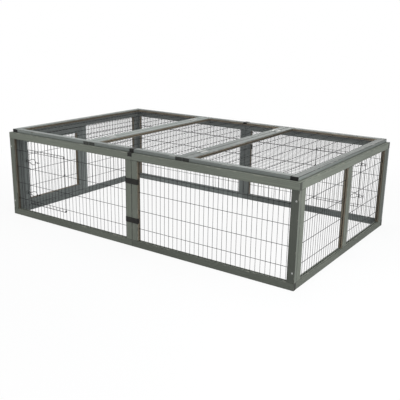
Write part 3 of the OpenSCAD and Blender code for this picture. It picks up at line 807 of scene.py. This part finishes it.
def door_leaf():
    low, high = ROWS[0] - DOOR_OVERLAP, ROWS[-1] + DOOR_OVERLAP
    half = DOOR_WIRE / 2
    left, right = DOOR_LATCH_X - CLOSE_WIRE / 2, DOOR_HINGE_X + CLOSE_WIRE / 2
    parts = [
        wires_up(COLUMNS[LATCH:HINGE + 1], low - half, high + half, DOOR_LAYER, CLOSE_WIRE),
        wires_across(ROWS[1:-1], left, right, DOOR_MIDDLE - WIDE_WIRE / 2, WIDE_WIRE),
        wires_across([low, high], left, right, DOOR_MIDDLE - half, DOOR_WIRE),
    ]
    for y in BOLT_HEIGHTS.values():
        parts.append(staple(DOOR_LATCH_X, y, PRONG_SPAN, DOOR_LAYER))
        parts.append(staple(TAIL_GUIDE_X, y, TAIL_SPAN, DOOR_LAYER))
    return joined("door_leaf", parts)


def slide_bolt(y):
    """One wire: round the finger ring, out along a prong and back along the other, with the
    tail welded behind the ring."""
    bend = (RING_HEIGHT - BOLT_WIRE) / 2
    left, right = RING_LEFT + RING_HEIGHT / 2, RING_RIGHT - RING_HEIGHT / 2
    neck_rise = PRONG + NECK_BEND
    neck_run = math.sqrt((bend + NECK_BEND) ** 2 - neck_rise ** 2)
    neck_turn = 90 - math.degrees(math.asin(neck_rise / (bend + NECK_BEND)))
    tip = DOOR_LATCH_X - BOLT_REACH + BOLT_WIRE / 2 + PRONG
    prong = left - neck_run - tip
    moves = [
        right - left, (neck_turn, bend, Z), (-neck_turn, NECK_BEND, Z), prong,
        (180, PRONG, Z), prong, (-neck_turn, NECK_BEND, Z), (neck_turn, bend, Z),
        right - left, (180, bend, Z),
    ]
    loop = bent_wire((right, y + bend, BOLT_LAYER), -X, moves, BOLT_WIRE, closed=True)
    tail_start = (RING_RIGHT - BOLT_WIRE / 2, y, BOLT_LAYER)
    tail = straight_wire(tail_start, (TAIL_END, y, BOLT_LAYER), BOLT_WIRE)
    return joined("bolt", [loop, tail])


def tying_ring(y):
    """Turns of wire round the door's hinge wire and the mesh wire behind it."""
    bend = CLOSE_WIRE / 2 + RING_PLAY + RING_WIRE / 2
    length = DOOR_LAYER - CLOSE_LAYER
    start = (DOOR_HINGE_X + bend, y - RING_WIRE * (RING_TURNS - 1) / 2, CLOSE_LAYER)
    moves = [length, (180, bend, -Y), length, (180, bend, -Y)]
    turn = bent_wire(start, Z, moves, RING_WIRE, closed=True)
    return repeated(turn, RING_TURNS, (0, RING_WIRE, 0))


def front_and_back(name, piece):
    """A piece and its twin, turned half round to the other long wall, as one."""
    twin = place(copy_of(piece, name), HALF_TURN)
    return joined(name, [piece, twin])


def on_each_wall(pattern, node, name, finish):
    """A piece on the front wall and its twin on the back wall, each for its own node."""
    for wall, turn in (("front_", Matrix()), ("back_", HALF_TURN)):
        piece = place(copy_of(pattern, wall + name), turn)
        wear_finish(piece, finish, wall + node, "door_wire")
    bpy.data.objects.remove(pattern)


def make_doors():
    on_each_wall(place(door_leaf(), FRONT), "door", "door_wires", "black_wire")
    for level, y in BOLT_HEIGHTS.items():
        bolt = place(slide_bolt(y), FRONT)
        on_each_wall(bolt, level + "_bolt", level + "_bolt_wire", "bolt_wire")
    step = DOOR_OVERLAP / 2
    rings = [tying_ring(y) for y in (ROWS[0] - step, ROWS[-2] + step, ROWS[-1] + step)]
    rings = front_and_back("door_rings", place(joined("rings", rings), FRONT))
    wear_finish(rings, "black_wire", "door_hinge_rings", "door_wire")
    beside = COLUMNS[LATCH - 1]
    keepers = [staple(beside, y, PRONG_SPAN, MESH_FRONT) for y in BOLT_HEIGHTS.values()]
    keepers = front_and_back("keepers", place(joined("keepers", keepers), FRONT))
    wear_finish(keepers, "black_wire", "bolt_keepers", "door_wire")


# ---- clips, hinges and screws ----


def post_clip(z):
    """A clip from one side of the two middle stiles across to the other."""
    side = STILE + SEAM / 2 + POST_CLIP_PLAY + POST_STRIP / 2
    face, back = -HALF_DEPTH - POST_STRIP / 2, -HALF_DEPTH + POST_CLIP_LEG
    corners = ((-side, back, z), (-side, face, z), (side, face, z), (side, back, z))
    return swept_strip(
        *through(corners, POST_CLIP_BEND), Z, POST_CLIP_HEIGHT, POST_STRIP, POST_CLIP_BURR
    )


def lid_strap():
    """A strap up the wall, over its ledge and the lid's rail, and down behind the rail."""
    half = LID_STRIP / 2
    wall, lid = -HALF_DEPTH - half, -HALF_DEPTH + LID_INSET - half
    inner = -HALF_DEPTH + LID_INSET + LID_CROSS + half
    ledge, top = WALL_HEIGHT + half, LID_TOP + half
    line = (
        (wall, WALL_HEIGHT - LID_CLIP_DROP), (wall, ledge), (lid, ledge), (lid, top),
        (inner, top), (inner, WALL_HEIGHT + LID_THICKNESS / 2 + LID_CLIP_END),
    )
    corners = [(LID_CLIP_X, y, z) for y, z in line]
    return swept_strip(
        *through(corners, LID_CLIP_BEND), X, LID_CLIP_WIDTH, LID_STRIP, LID_CLIP_BURR
    )


def make_clips():
    clips = [post_clip(z) for z in (POST_CLIP_INSET, WALL_HEIGHT - POST_CLIP_INSET)]
    clips = front_and_back("middle_seam_clips", joined("clips", clips))
    wear_finish(clips, "black_strip", "post_clips")
    straps = front_and_back("lid_straps", lid_strap())
    wear_finish(straps, "black_strip", "lid_clips")


# The face of a screw head, as shares of the head's radius: its rim, how proud the part
# inside the rim stands, the ring round the recess, and the reach and notch of its cross
HEAD_RIM = 0.08
HEAD_CROWN = 0.03
HEAD_RING = 0.36
CROSS_REACH = 0.65
CROSS_NOTCH = 0.125
# How far the notches go in, how deep the cross is in heights of the head, and how wide
# at the bottom
CROSS_WAIST = 0.36
CROSS_DEPTH = 0.7
CROSS_TAPER = 0.5


def screw_head(diameter, shank):
    """A countersunk head facing up at the origin, with a cross recess."""
    deselect_all()
    radius = diameter / 2
    height = radius - shank / 2
    bpy.ops.mesh.primitive_cone_add(
        vertices=32, radius1=shank / 2, radius2=radius, depth=height,
        location=(0, 0, -height / 2),
    )
    piece = bpy.context.object
    settle()
    edit(piece)
    pick(piece, "FACE", lambda f: f.normal.z > 0.99)
    bpy.ops.mesh.inset(thickness=radius * HEAD_RIM)
    bpy.ops.transform.translate(value=(0, 0, radius * HEAD_CROWN))
    bpy.ops.mesh.inset(thickness=radius * HEAD_RING)
    reach, notch = radius * CROSS_REACH, radius * CROSS_NOTCH

    def in_recess(v):
        return v.co.xy.length < reach

    # The corners between the arms of the cross are drawn in towards the middle
    pick(
        piece,
        "VERT",
        lambda v: v.co.z > 0 and in_recess(v) and min(abs(v.co.x), abs(v.co.y)) > notch,
    )
    narrow(CROSS_WAIST)
    pick(piece, "FACE", lambda f: f.normal.z > 0.9 and all(map(in_recess, f.verts)))
    pull(Z * (-height * CROSS_DEPTH))
    narrow(CROSS_TAPER)
    done_editing()
    smooth(piece, 35)
    return piece


def leaf_and_knuckles(side, own):
    """One leaf of a butt hinge about a pin over the origin. Side is the leaf's side in x,
    and own says which of the three knuckles belong to it."""
    inner, outer = sorted((side * LID_SEAM / 2, side * LEAF_WIDTH))
    plate = block((inner, -HINGE_LENGTH / 2, 0), (outer, HINGE_LENGTH / 2, LEAF))
    edit(plate)
    pick(
        plate,
        "EDGE",
        lambda e: all(abs(abs(v.co.x) - LEAF_WIDTH) < HAIR for v in e.verts)
        and abs((e.verts[0].co - e.verts[1].co).z) > LEAF / 2,
    )
    bpy.ops.mesh.bevel(offset=LEAF_CORNER, segments=6, profile=0.5, affect="EDGES")
    done_editing()
    parts = [soften(plate, LEAF_BURR)]
    length = (HINGE_LENGTH - 2 * KNUCKLE_GAP) / 3
    for i in own:
        middle = -HINGE_LENGTH / 2 + i * (length + KNUCKLE_GAP) + length / 2
        parts.append(rolled_knuckle(side, middle, length))
    return joined("leaf", parts)


def rolled_knuckle(side, y, length):
    """The edge of a leaf rolled up round the pin."""
    bend = KNUCKLE_RADIUS - LEAF / 2
    heading = X * -side
    start = Vector((side * (KNUCKLE_RADIUS + MM), y, PIN_HEIGHT - bend))
    moves = [abs(start.x), (KNUCKLE_ROLL, bend, heading.cross(Z))]
    return swept_strip(start, heading, moves, Y, length, LEAF, KNUCKLE_BURR)


def leaf_screws(side):
    screws = []
    for step in (-LEAF_SCREW_STEP, LEAF_SCREW_STEP):
        head = screw_head(LEAF_HEAD, LEAF_SHANK)
        spot = Matrix.Translation((side * LEAF_SCREW_X, step, LEAF))
        turn = turned(LEAF_SCREW_FIRST + LEAF_SCREW_TURN * step)
        screws.append(place(head, spot @ turn))
    return screws


def at_hinges(name, parts, seams):
    """Copies of a hinge's parts at the front and back hinge of each seam."""
    pattern = joined("pattern", parts)
    spots = [(x, y, LID_TOP) for x in seams for y in (-HINGE_Y, HINGE_Y)]
    copies = [place(copy_of(pattern, name), Matrix.Translation(spot)) for spot in spots]
    bpy.data.objects.remove(pattern)
    return joined(name, copies)


def make_hinges():
    for wing, seam, side in (("left", -SEAM_X, -1), ("right", SEAM_X, 1)):
        node = f"lid_{wing}_hinge_leaves"
        parts = [leaf_and_knuckles(side, [1])] + leaf_screws(side)
        leaves = at_hinges(node + "_steel", parts, [seam])
        wear_finish(leaves, "zinc_steel", node)
    left = at_hinges("leaves", [leaf_and_knuckles(1, [0, 2])], [-SEAM_X])
    right = at_hinges("leaves", [leaf_and_knuckles(-1, [0, 2])], [SEAM_X])
    leaves = joined("lid_middle_leaves", [left, right])
    wear_finish(leaves, "zinc_steel", "lid_middle_hinge_leaves")
    middle, half = Z * PIN_HEIGHT, Y * (HINGE_LENGTH / 2)
    pin = straight_wire(middle - half, middle + half, PIN, PIN_SIDES)
    pins = at_hinges("lid_pins", [pin], [-SEAM_X, SEAM_X])
    wear_finish(pins, "zinc_steel", "lid_hinge_pins")


def make_screws():
    screws = []
    for x in (WALL_THICKNESS / 2 - HALF_LENGTH, HALF_LENGTH - WALL_THICKNESS / 2):
        for z in (CORNER_SCREW_Z, WALL_HEIGHT - CORNER_SCREW_Z):
            head = screw_head(CORNER_HEAD, CORNER_SHANK)
            spot = Matrix.Translation((x, -HALF_DEPTH, z)) @ QUARTER
            screws.append(place(head, spot @ turned(CORNER_SCREW_TURN * z)))
    corner = front_and_back("corner_screws", joined("corner_screws", screws))
    left = at_hinges("screws", leaf_screws(1), [-SEAM_X])
    right = at_hinges("screws", leaf_screws(-1), [SEAM_X])
    heads = joined("screw_heads", [corner, left, right])
    wear_finish(heads, "zinc_steel", "wood_screws")


# ---- finishes ----

FINISH = {}


def new_finish(name):
    finish = bpy.data.materials.new(name)
    finish.use_nodes = True
    FINISH[name] = finish
    return finish.node_tree, finish.node_tree.nodes["Principled BSDF"]


def add(tree, kind, inputs=None, **settings):
    """Adds a node. An input is a plain value or another node's output."""
    node = tree.nodes.new(kind)
    for key, value in settings.items():
        setattr(node, key, value)
    for socket, value in (inputs or {}).items():
        if isinstance(value, bpy.types.NodeSocket):
            tree.links.new(value, node.inputs[socket])
        else:
            node.inputs[socket].default_value = value
    return node


def stretched(tree, vector, scale):
    return add(
        tree, "ShaderNodeMapping", {"Vector": vector, "Scale": scale}
    ).outputs["Vector"]


def noise(tree, vector, scale, detail=3.0, roughness=0.55):
    vector = stretched(tree, vector, scale)
    inputs = {"Vector": vector, "Scale": 1.0, "Detail": detail, "Roughness": roughness}
    return add(tree, "ShaderNodeTexNoise", inputs).outputs["Fac"]


def ranged(tree, value, low, high, to_low=0.0, to_high=1.0):
    inputs = {
        "Value": value, "From Min": low, "From Max": high, "To Min": to_low,
        "To Max": to_high,
    }
    return add(
        tree, "ShaderNodeMapRange", inputs, interpolation_type="SMOOTHSTEP"
    ).outputs["Result"]


def maths(tree, operation, a, b, c=0.0):
    return add(
        tree, "ShaderNodeMath", {0: a, 1: b, 2: c}, operation=operation
    ).outputs["Value"]


def vector_maths(tree, operation, a, inputs):
    return add(tree, "ShaderNodeVectorMath", {0: a, **inputs}, operation=operation).outputs


def blended(tree, amount, a, b):
    """Colour a going over to colour b."""
    node = add(tree, "ShaderNodeMix", {0: amount}, data_type="RGBA")
    for socket, value in ((6, a), (7, b)):
        if isinstance(value, bpy.types.NodeSocket):
            tree.links.new(value, node.inputs[socket])
        else:
            node.inputs[socket].default_value = (*value, 1.0)
    return node.outputs[2]


def stored(tree, name):
    """What a board's points carry under a name."""
    return add(tree, "ShaderNodeAttribute", attribute_name=name).outputs


def own_place(tree):
    """Where a point lies in its piece, in metres."""
    return add(tree, "ShaderNodeTexCoord").outputs["Object"]


def dress(tree, surface, colour, rough, relief, strength, depth):
    """Gives a shader its colour, its roughness and the relief of its surface."""
    tree.links.new(colour, surface.inputs["Base Color"])
    tree.links.new(rough, surface.inputs["Roughness"])
    bump = add(
        tree, "ShaderNodeBump", {"Height": relief, "Strength": strength, "Distance": depth}
    )
    tree.links.new(bump.outputs["Normal"], surface.inputs["Normal"])


def grain_parts(tree):
    """The tree's own pattern: year rings, fibres, slow streaks and knots."""
    grain = stored(tree, "grain")["Vector"]
    drift = add(
        tree,
        "ShaderNodeTexNoise",
        {"Vector": stretched(tree, grain, (1.1, 10, 10)), "Scale": 1.0, "Detail": 2.0},
    ).outputs["Color"]
    centred = vector_maths(tree, "SUBTRACT", drift, {1: (0.5, 0.5, 0.5)})["Vector"]
    sway = vector_maths(tree, "SCALE", centred, {"Scale": 0.016})["Vector"]
    swayed = vector_maths(tree, "ADD", grain, {1: sway})["Vector"]
    rings = add(
        tree,
        "ShaderNodeTexWave",
        {
            "Vector": stretched(tree, swayed, (0.1, 1, 1)), "Scale": 74.0,
            "Distortion": 1.4, "Detail": 2.0, "Detail Scale": 1.2,
        },
        wave_type="RINGS",
        rings_direction="X",
    ).outputs["Fac"]
    knot = add(
        tree,
        "ShaderNodeTexVoronoi",
        {"Vector": stretched(tree, swayed, (7.5, 12, 6)), "Scale": 1.0},
    ).outputs["Distance"]
    return {
        "rings": ranged(tree, rings, 0.35, 1.0),
        "fibres": noise(tree, grain, (16, 900, 900), 4.0, 0.62),
        "streaks": noise(tree, swayed, (2.4, 150, 150)),
        "blotches": noise(tree, grain, (3.2, 14, 14), 2.0),
        "patches": noise(tree, grain, (26, 60, 60), 4.0),
        "knots": ranged(tree, knot, 0.035, 0.075, 1.0, 0.0),
    }


def timber_finish(name, pale, deep, knot_colour, rough, grain_depth, rubbed=None):
    """Glazed or sawn pine. Rubbed is the colour of arrises that lost their glaze."""
    tree, surface = new_finish(name)
    surface.inputs["Specular IOR Level"].default_value = 0.35
    parts = grain_parts(tree)
    streaks = maths(tree, "MULTIPLY_ADD", parts["streaks"], 0.55, -0.02)
    figure = maths(tree, "MULTIPLY_ADD", parts["rings"], 0.40, streaks)
    arris_wear_and_shade = stored(tree, "arris_wear_and_shade")["Fac"]
    # The board's tone carries painted light and shade as well as its glaze
    level = stored(tree, "tone_and_shade")["Fac"]
    for factor in (
        ranged(tree, parts["fibres"], 0.30, 0.72, 0.90, 1.07),
        ranged(tree, parts["blotches"], 0.25, 0.75, 0.90, 1.08),
        # Halves the colour on the arrises: grime, and painted shade in the joints between
        # boards
        ranged(tree, arris_wear_and_shade, 0.2, 1.0, 1.0, 0.5),
    ):
        level = maths(tree, "MULTIPLY", level, factor)
    colour = blended(tree, figure, pale, deep)
    colour = vector_maths(tree, "SCALE", colour, {"Scale": level})["Vector"]
    knots = maths(tree, "MULTIPLY", parts["knots"], 0.75)
    colour = blended(tree, knots, colour, knot_colour)
    if rubbed:
        patches = ranged(tree, parts["patches"], 0.52, 0.66)
        worn = maths(tree, "MULTIPLY", maths(tree, "MULTIPLY", arris_wear_and_shade, patches), 0.6)
        colour = blended(tree, worn, colour, rubbed)
    gloss = ranged(tree, parts["streaks"], 0.3, 0.7, rough - 0.07, rough + 0.08)
    fibres = maths(tree, "MULTIPLY", parts["fibres"], 0.8)
    relief = maths(tree, "MULTIPLY_ADD", parts["rings"], 0.5, fibres)
    dress(tree, surface, colour, gloss, relief, 0.5, grain_depth)


def wire_finish(name, dark, pale):
    """Black coat on steel wire, with tiny runs and thin places."""
    tree, surface = new_finish(name)
    surface.inputs["Specular IOR Level"].default_value = 0.15
    spot = own_place(tree)
    runs = noise(tree, spot, (240, 240, 240), 3.0)
    thin = noise(tree, spot, (60, 60, 60), 4.0, 0.65)
    colour = blended(tree, ranged(tree, thin, 0.40, 0.72), dark, pale)
    rough = ranged(tree, runs, 0.3, 0.7, 0.36, 0.56)
    dress(tree, surface, colour, rough, runs, 0.4, 0.2 * MM)


def strip_finish():
    """Black stoved paint on bent strip, with an even fine texture."""
    tree, surface = new_finish("black_strip")
    surface.inputs["Specular IOR Level"].default_value = 0.2
    spot = own_place(tree)
    skin = noise(tree, spot, (900, 900, 900), 2.0)
    dust = noise(tree, spot, (55, 55, 55), 4.0, 0.6)
    black, dusty = (0.006, 0.006, 0.005), (0.020, 0.019, 0.016)
    colour = blended(tree, ranged(tree, dust, 0.42, 0.75), black, dusty)
    rough = ranged(tree, dust, 0.3, 0.7, 0.42, 0.60)
    dress(tree, surface, colour, rough, skin, 0.35, 0.2 * MM)


def zinc_finish():
    """Rolled and zinc-plated steel: bright, with a fine lie along y and dull spots."""
    tree, surface = new_finish("zinc_steel")
    surface.inputs["Metallic"].default_value = 1.0
    spot = own_place(tree)
    rolled = noise(tree, spot, (2600, 60, 2600), 3.0)
    dull = noise(tree, spot, (110, 110, 110), 4.0, 0.6)
    bright, tarnished = (0.50, 0.51, 0.50), (0.36, 0.36, 0.34)
    colour = blended(tree, ranged(tree, dull, 0.42, 0.70), bright, tarnished)
    lie = ranged(tree, rolled, 0.3, 0.7, 0.30, 0.42)
    rough = maths(tree, "ADD", lie, ranged(tree, dull, 0.4, 0.75, 0.0, 0.16))
    dress(tree, surface, colour, rough, rolled, 0.25, 0.1 * MM)


# Pale wood, deep wood, knots, roughness, depth of the grain and the colour of rubbed arrises
TIMBER_FINISHES = {
    "wall_glaze": (
        (0.176, 0.192, 0.158), (0.109, 0.121, 0.099), (0.047, 0.047, 0.038),
        0.64, 0.00035, (0.28, 0.27, 0.225),
    ),
    # A bluer copy of the wall glaze, as painted cool light on the inside faces
    "bluish_lit_glaze": (
        (0.184, 0.201, 0.193), (0.113, 0.126, 0.121), (0.048, 0.050, 0.046),
        0.64, 0.00035, (0.28, 0.28, 0.26),
    ),
    "lid_glaze": (
        (0.216, 0.237, 0.222), (0.138, 0.154, 0.145), (0.060, 0.060, 0.050),
        0.50, 0.00035, (0.32, 0.31, 0.28),
    ),
    # Paler copies of the glazes, as painted light on outer edges at the right-hand end
    "painted_lit_edge": (
        (0.385, 0.424, 0.354), (0.239, 0.267, 0.224), (0.080, 0.080, 0.064), 0.64, 0.00035
    ),
    "painted_lit_lid_edge": (
        (0.385, 0.422, 0.396), (0.246, 0.274, 0.258), (0.086, 0.086, 0.072), 0.56, 0.00035
    ),
    "glazed_end": (
        (0.132, 0.142, 0.120), (0.068, 0.072, 0.058), (0.040, 0.036, 0.028), 0.80, 0.0006
    ),
    # End grain painted near black, partly as painted shade at the lid's corners
    "painted_shade_sawn_end": (
        (0.020, 0.020, 0.018), (0.008, 0.008, 0.007), (0.008, 0.007, 0.006), 0.85, 0.0008
    ),
    "seam_end": (
        (0.105, 0.110, 0.098), (0.055, 0.058, 0.052), (0.020, 0.018, 0.015), 0.82, 0.0008
    ),
    "bare_edge": (
        (0.245, 0.203, 0.146), (0.122, 0.099, 0.071), (0.049, 0.035, 0.022), 0.76, 0.0005
    ),
    "clean_bare_edge": (
        (0.400, 0.335, 0.250), (0.205, 0.168, 0.124), (0.080, 0.058, 0.038), 0.76, 0.0005
    ),
}


def make_finishes():
    for name, look in TIMBER_FINISHES.items():
        timber_finish(name, *look)
    wire_finish("black_wire", (0.007, 0.007, 0.008), (0.022, 0.022, 0.023))
    wire_finish("bolt_wire", (0.005, 0.005, 0.005), (0.014, 0.014, 0.015))
    strip_finish()
    zinc_finish()


# ---- floor, light and camera ----

WHITE = (1, 1, 1, 1)
FLOOR_GREY = (0.75, 0.75, 0.75, 1)
FLOOR_SIDE = 14
FLOOR_DROP = 0.0004
# Up to the first distance from the middle, the camera sees white with this share of the
# floor's own grey and shadow in it, and past the second only white
SHADOW_SHARE = 0.10
SHADOW_FADE = (1.1, 2.4)
ROOM_COLOUR = (0.92, 0.96, 1.0, 1)
ROOM_STRENGTH = 0.32


def seen_directly(tree):
    """1 for what the camera sees, also in a reflection or through glass."""
    rays = add(tree, "ShaderNodeLightPath").outputs
    seen = maths(tree, "MAXIMUM", rays["Is Camera Ray"], rays["Is Glossy Ray"])
    return maths(tree, "MAXIMUM", seen, rays["Is Transmission Ray"])


def mixed(tree, share, first, second):
    return add(
        tree, "ShaderNodeMixShader", {"Fac": share, 1: first, 2: second}
    ).outputs["Shader"]


def make_floor():
    deselect_all()
    bpy.ops.mesh.primitive_plane_add(size=FLOOR_SIDE, location=(0, 0, -FLOOR_DROP))
    floor = bpy.context.object
    floor.name = "floor"
    settle()
    tree, surface = new_finish("pale_floor")
    surface.inputs["Base Color"].default_value = FLOOR_GREY
    surface.inputs["Roughness"].default_value = 0.9
    surface.inputs["Specular IOR Level"].default_value = 0.1
    away = vector_maths(tree, "LENGTH", own_place(tree), {})["Value"]
    share = ranged(tree, away, *SHADOW_FADE, 1 - SHADOW_SHARE, 1.0)
    white = add(tree, "ShaderNodeEmission", {"Color": WHITE, "Strength": 1.0})
    share = maths(tree, "MULTIPLY", seen_directly(tree), share)
    look = mixed(tree, share, surface.outputs["BSDF"], white.outputs["Emission"])
    tree.links.new(look, tree.nodes["Material Output"].inputs["Surface"])
    floor.data.materials.append(FINISH["pale_floor"])


def make_room():
    world = bpy.data.worlds.new("studio")
    bpy.context.scene.world = world
    world.use_nodes = True
    tree = world.node_tree
    room = tree.nodes["Background"]
    room.inputs["Color"].default_value = ROOM_COLOUR
    room.inputs["Strength"].default_value = ROOM_STRENGTH
    backdrop = add(tree, "ShaderNodeBackground", {"Color": WHITE, "Strength": 1.0})
    look = mixed(
        tree, seen_directly(tree), room.outputs["Background"],
        backdrop.outputs["Background"],
    )
    tree.links.new(look, tree.nodes["World Output"].inputs["Surface"])


# Where each lamp stands, the spot it faces, its width and height, its power and its colour
LAMPS = {
    "overhead": ((-0.5, 0.5, 3.2), (-0.1, 0, 0.3), (3.0, 2.4), 58, (1, 1, 1)),
    "right_side": ((2.3, -1.05, 1.6), (0.85, -0.4, 0.3), (1.1, 1.1), 50, (0.98, 0.99, 1.0)),
    "front_left": ((-2.0, -2.9, 1.6), (-0.4, 0, 0.25), (1.8, 1.5), 36, (1.0, 1.0, 0.98)),
    "back": ((-0.8, 3.6, 0.8), (0, 0, 0.25), (2.0, 1.0), 16, (1.0, 0.99, 0.95)),
}


def make_light():
    for name, (spot, aim, size, power, colour) in LAMPS.items():
        lamp = bpy.data.lights.new(name, "AREA")
        lamp.shape = "RECTANGLE"
        lamp.size, lamp.size_y = size
        lamp.energy = power
        lamp.color = colour
        stand = bpy.data.objects.new(name, lamp)
        bpy.context.scene.collection.objects.link(stand)
        stand.location = spot
        facing = Vector(aim) - Vector(spot)
        stand.rotation_mode = "QUATERNION"
        stand.rotation_quaternion = facing.to_track_quat("-Z", "Y")


# The photograph's camera: its place from the front left corner on the ground, in lengths of
# the run, which way it looks and how it frames
FRONT_LEFT_CORNER = Vector((-HALF_LENGTH, -HALF_DEPTH, 0))
CAMERA_LENGTHS = Vector((1.578, -1.240, 0.619))
CAMERA_TURN, CAMERA_TILT, CAMERA_ROLL = 34.49, 16.29, 1.0
FOCAL_PIXELS = 620.0
IMAGE_SIDE = 400
OPTICAL_CENTRE = (199.5, 198.9)
SENSOR = 36
NEAREST, FARTHEST = 0.05, 60


def make_camera():
    lens = bpy.data.cameras.new("camera")
    lens.sensor_width = SENSOR
    lens.lens = SENSOR * FOCAL_PIXELS / IMAGE_SIDE
    lens.shift_x = (IMAGE_SIDE / 2 - OPTICAL_CENTRE[0]) / IMAGE_SIDE
    lens.shift_y = (OPTICAL_CENTRE[1] - IMAGE_SIDE / 2) / IMAGE_SIDE
    lens.clip_start, lens.clip_end = NEAREST, FARTHEST
    camera = bpy.data.objects.new("camera", lens)
    bpy.context.scene.collection.objects.link(camera)
    spot = FRONT_LEFT_CORNER + CAMERA_LENGTHS * (2 * HALF_LENGTH)
    facing = turned(CAMERA_TURN) @ turned(90 - CAMERA_TILT, "X") @ turned(CAMERA_ROLL)
    camera.matrix_world = Matrix.Translation(spot) @ facing
    bpy.context.scene.camera = camera
    bpy.context.scene.view_settings.view_transform = "Standard"


make_finishes()
make_timber()
make_meshes()
make_doors()
make_clips()
make_hinges()
make_screws()
make_floor()
make_room()
make_light()
make_camera()
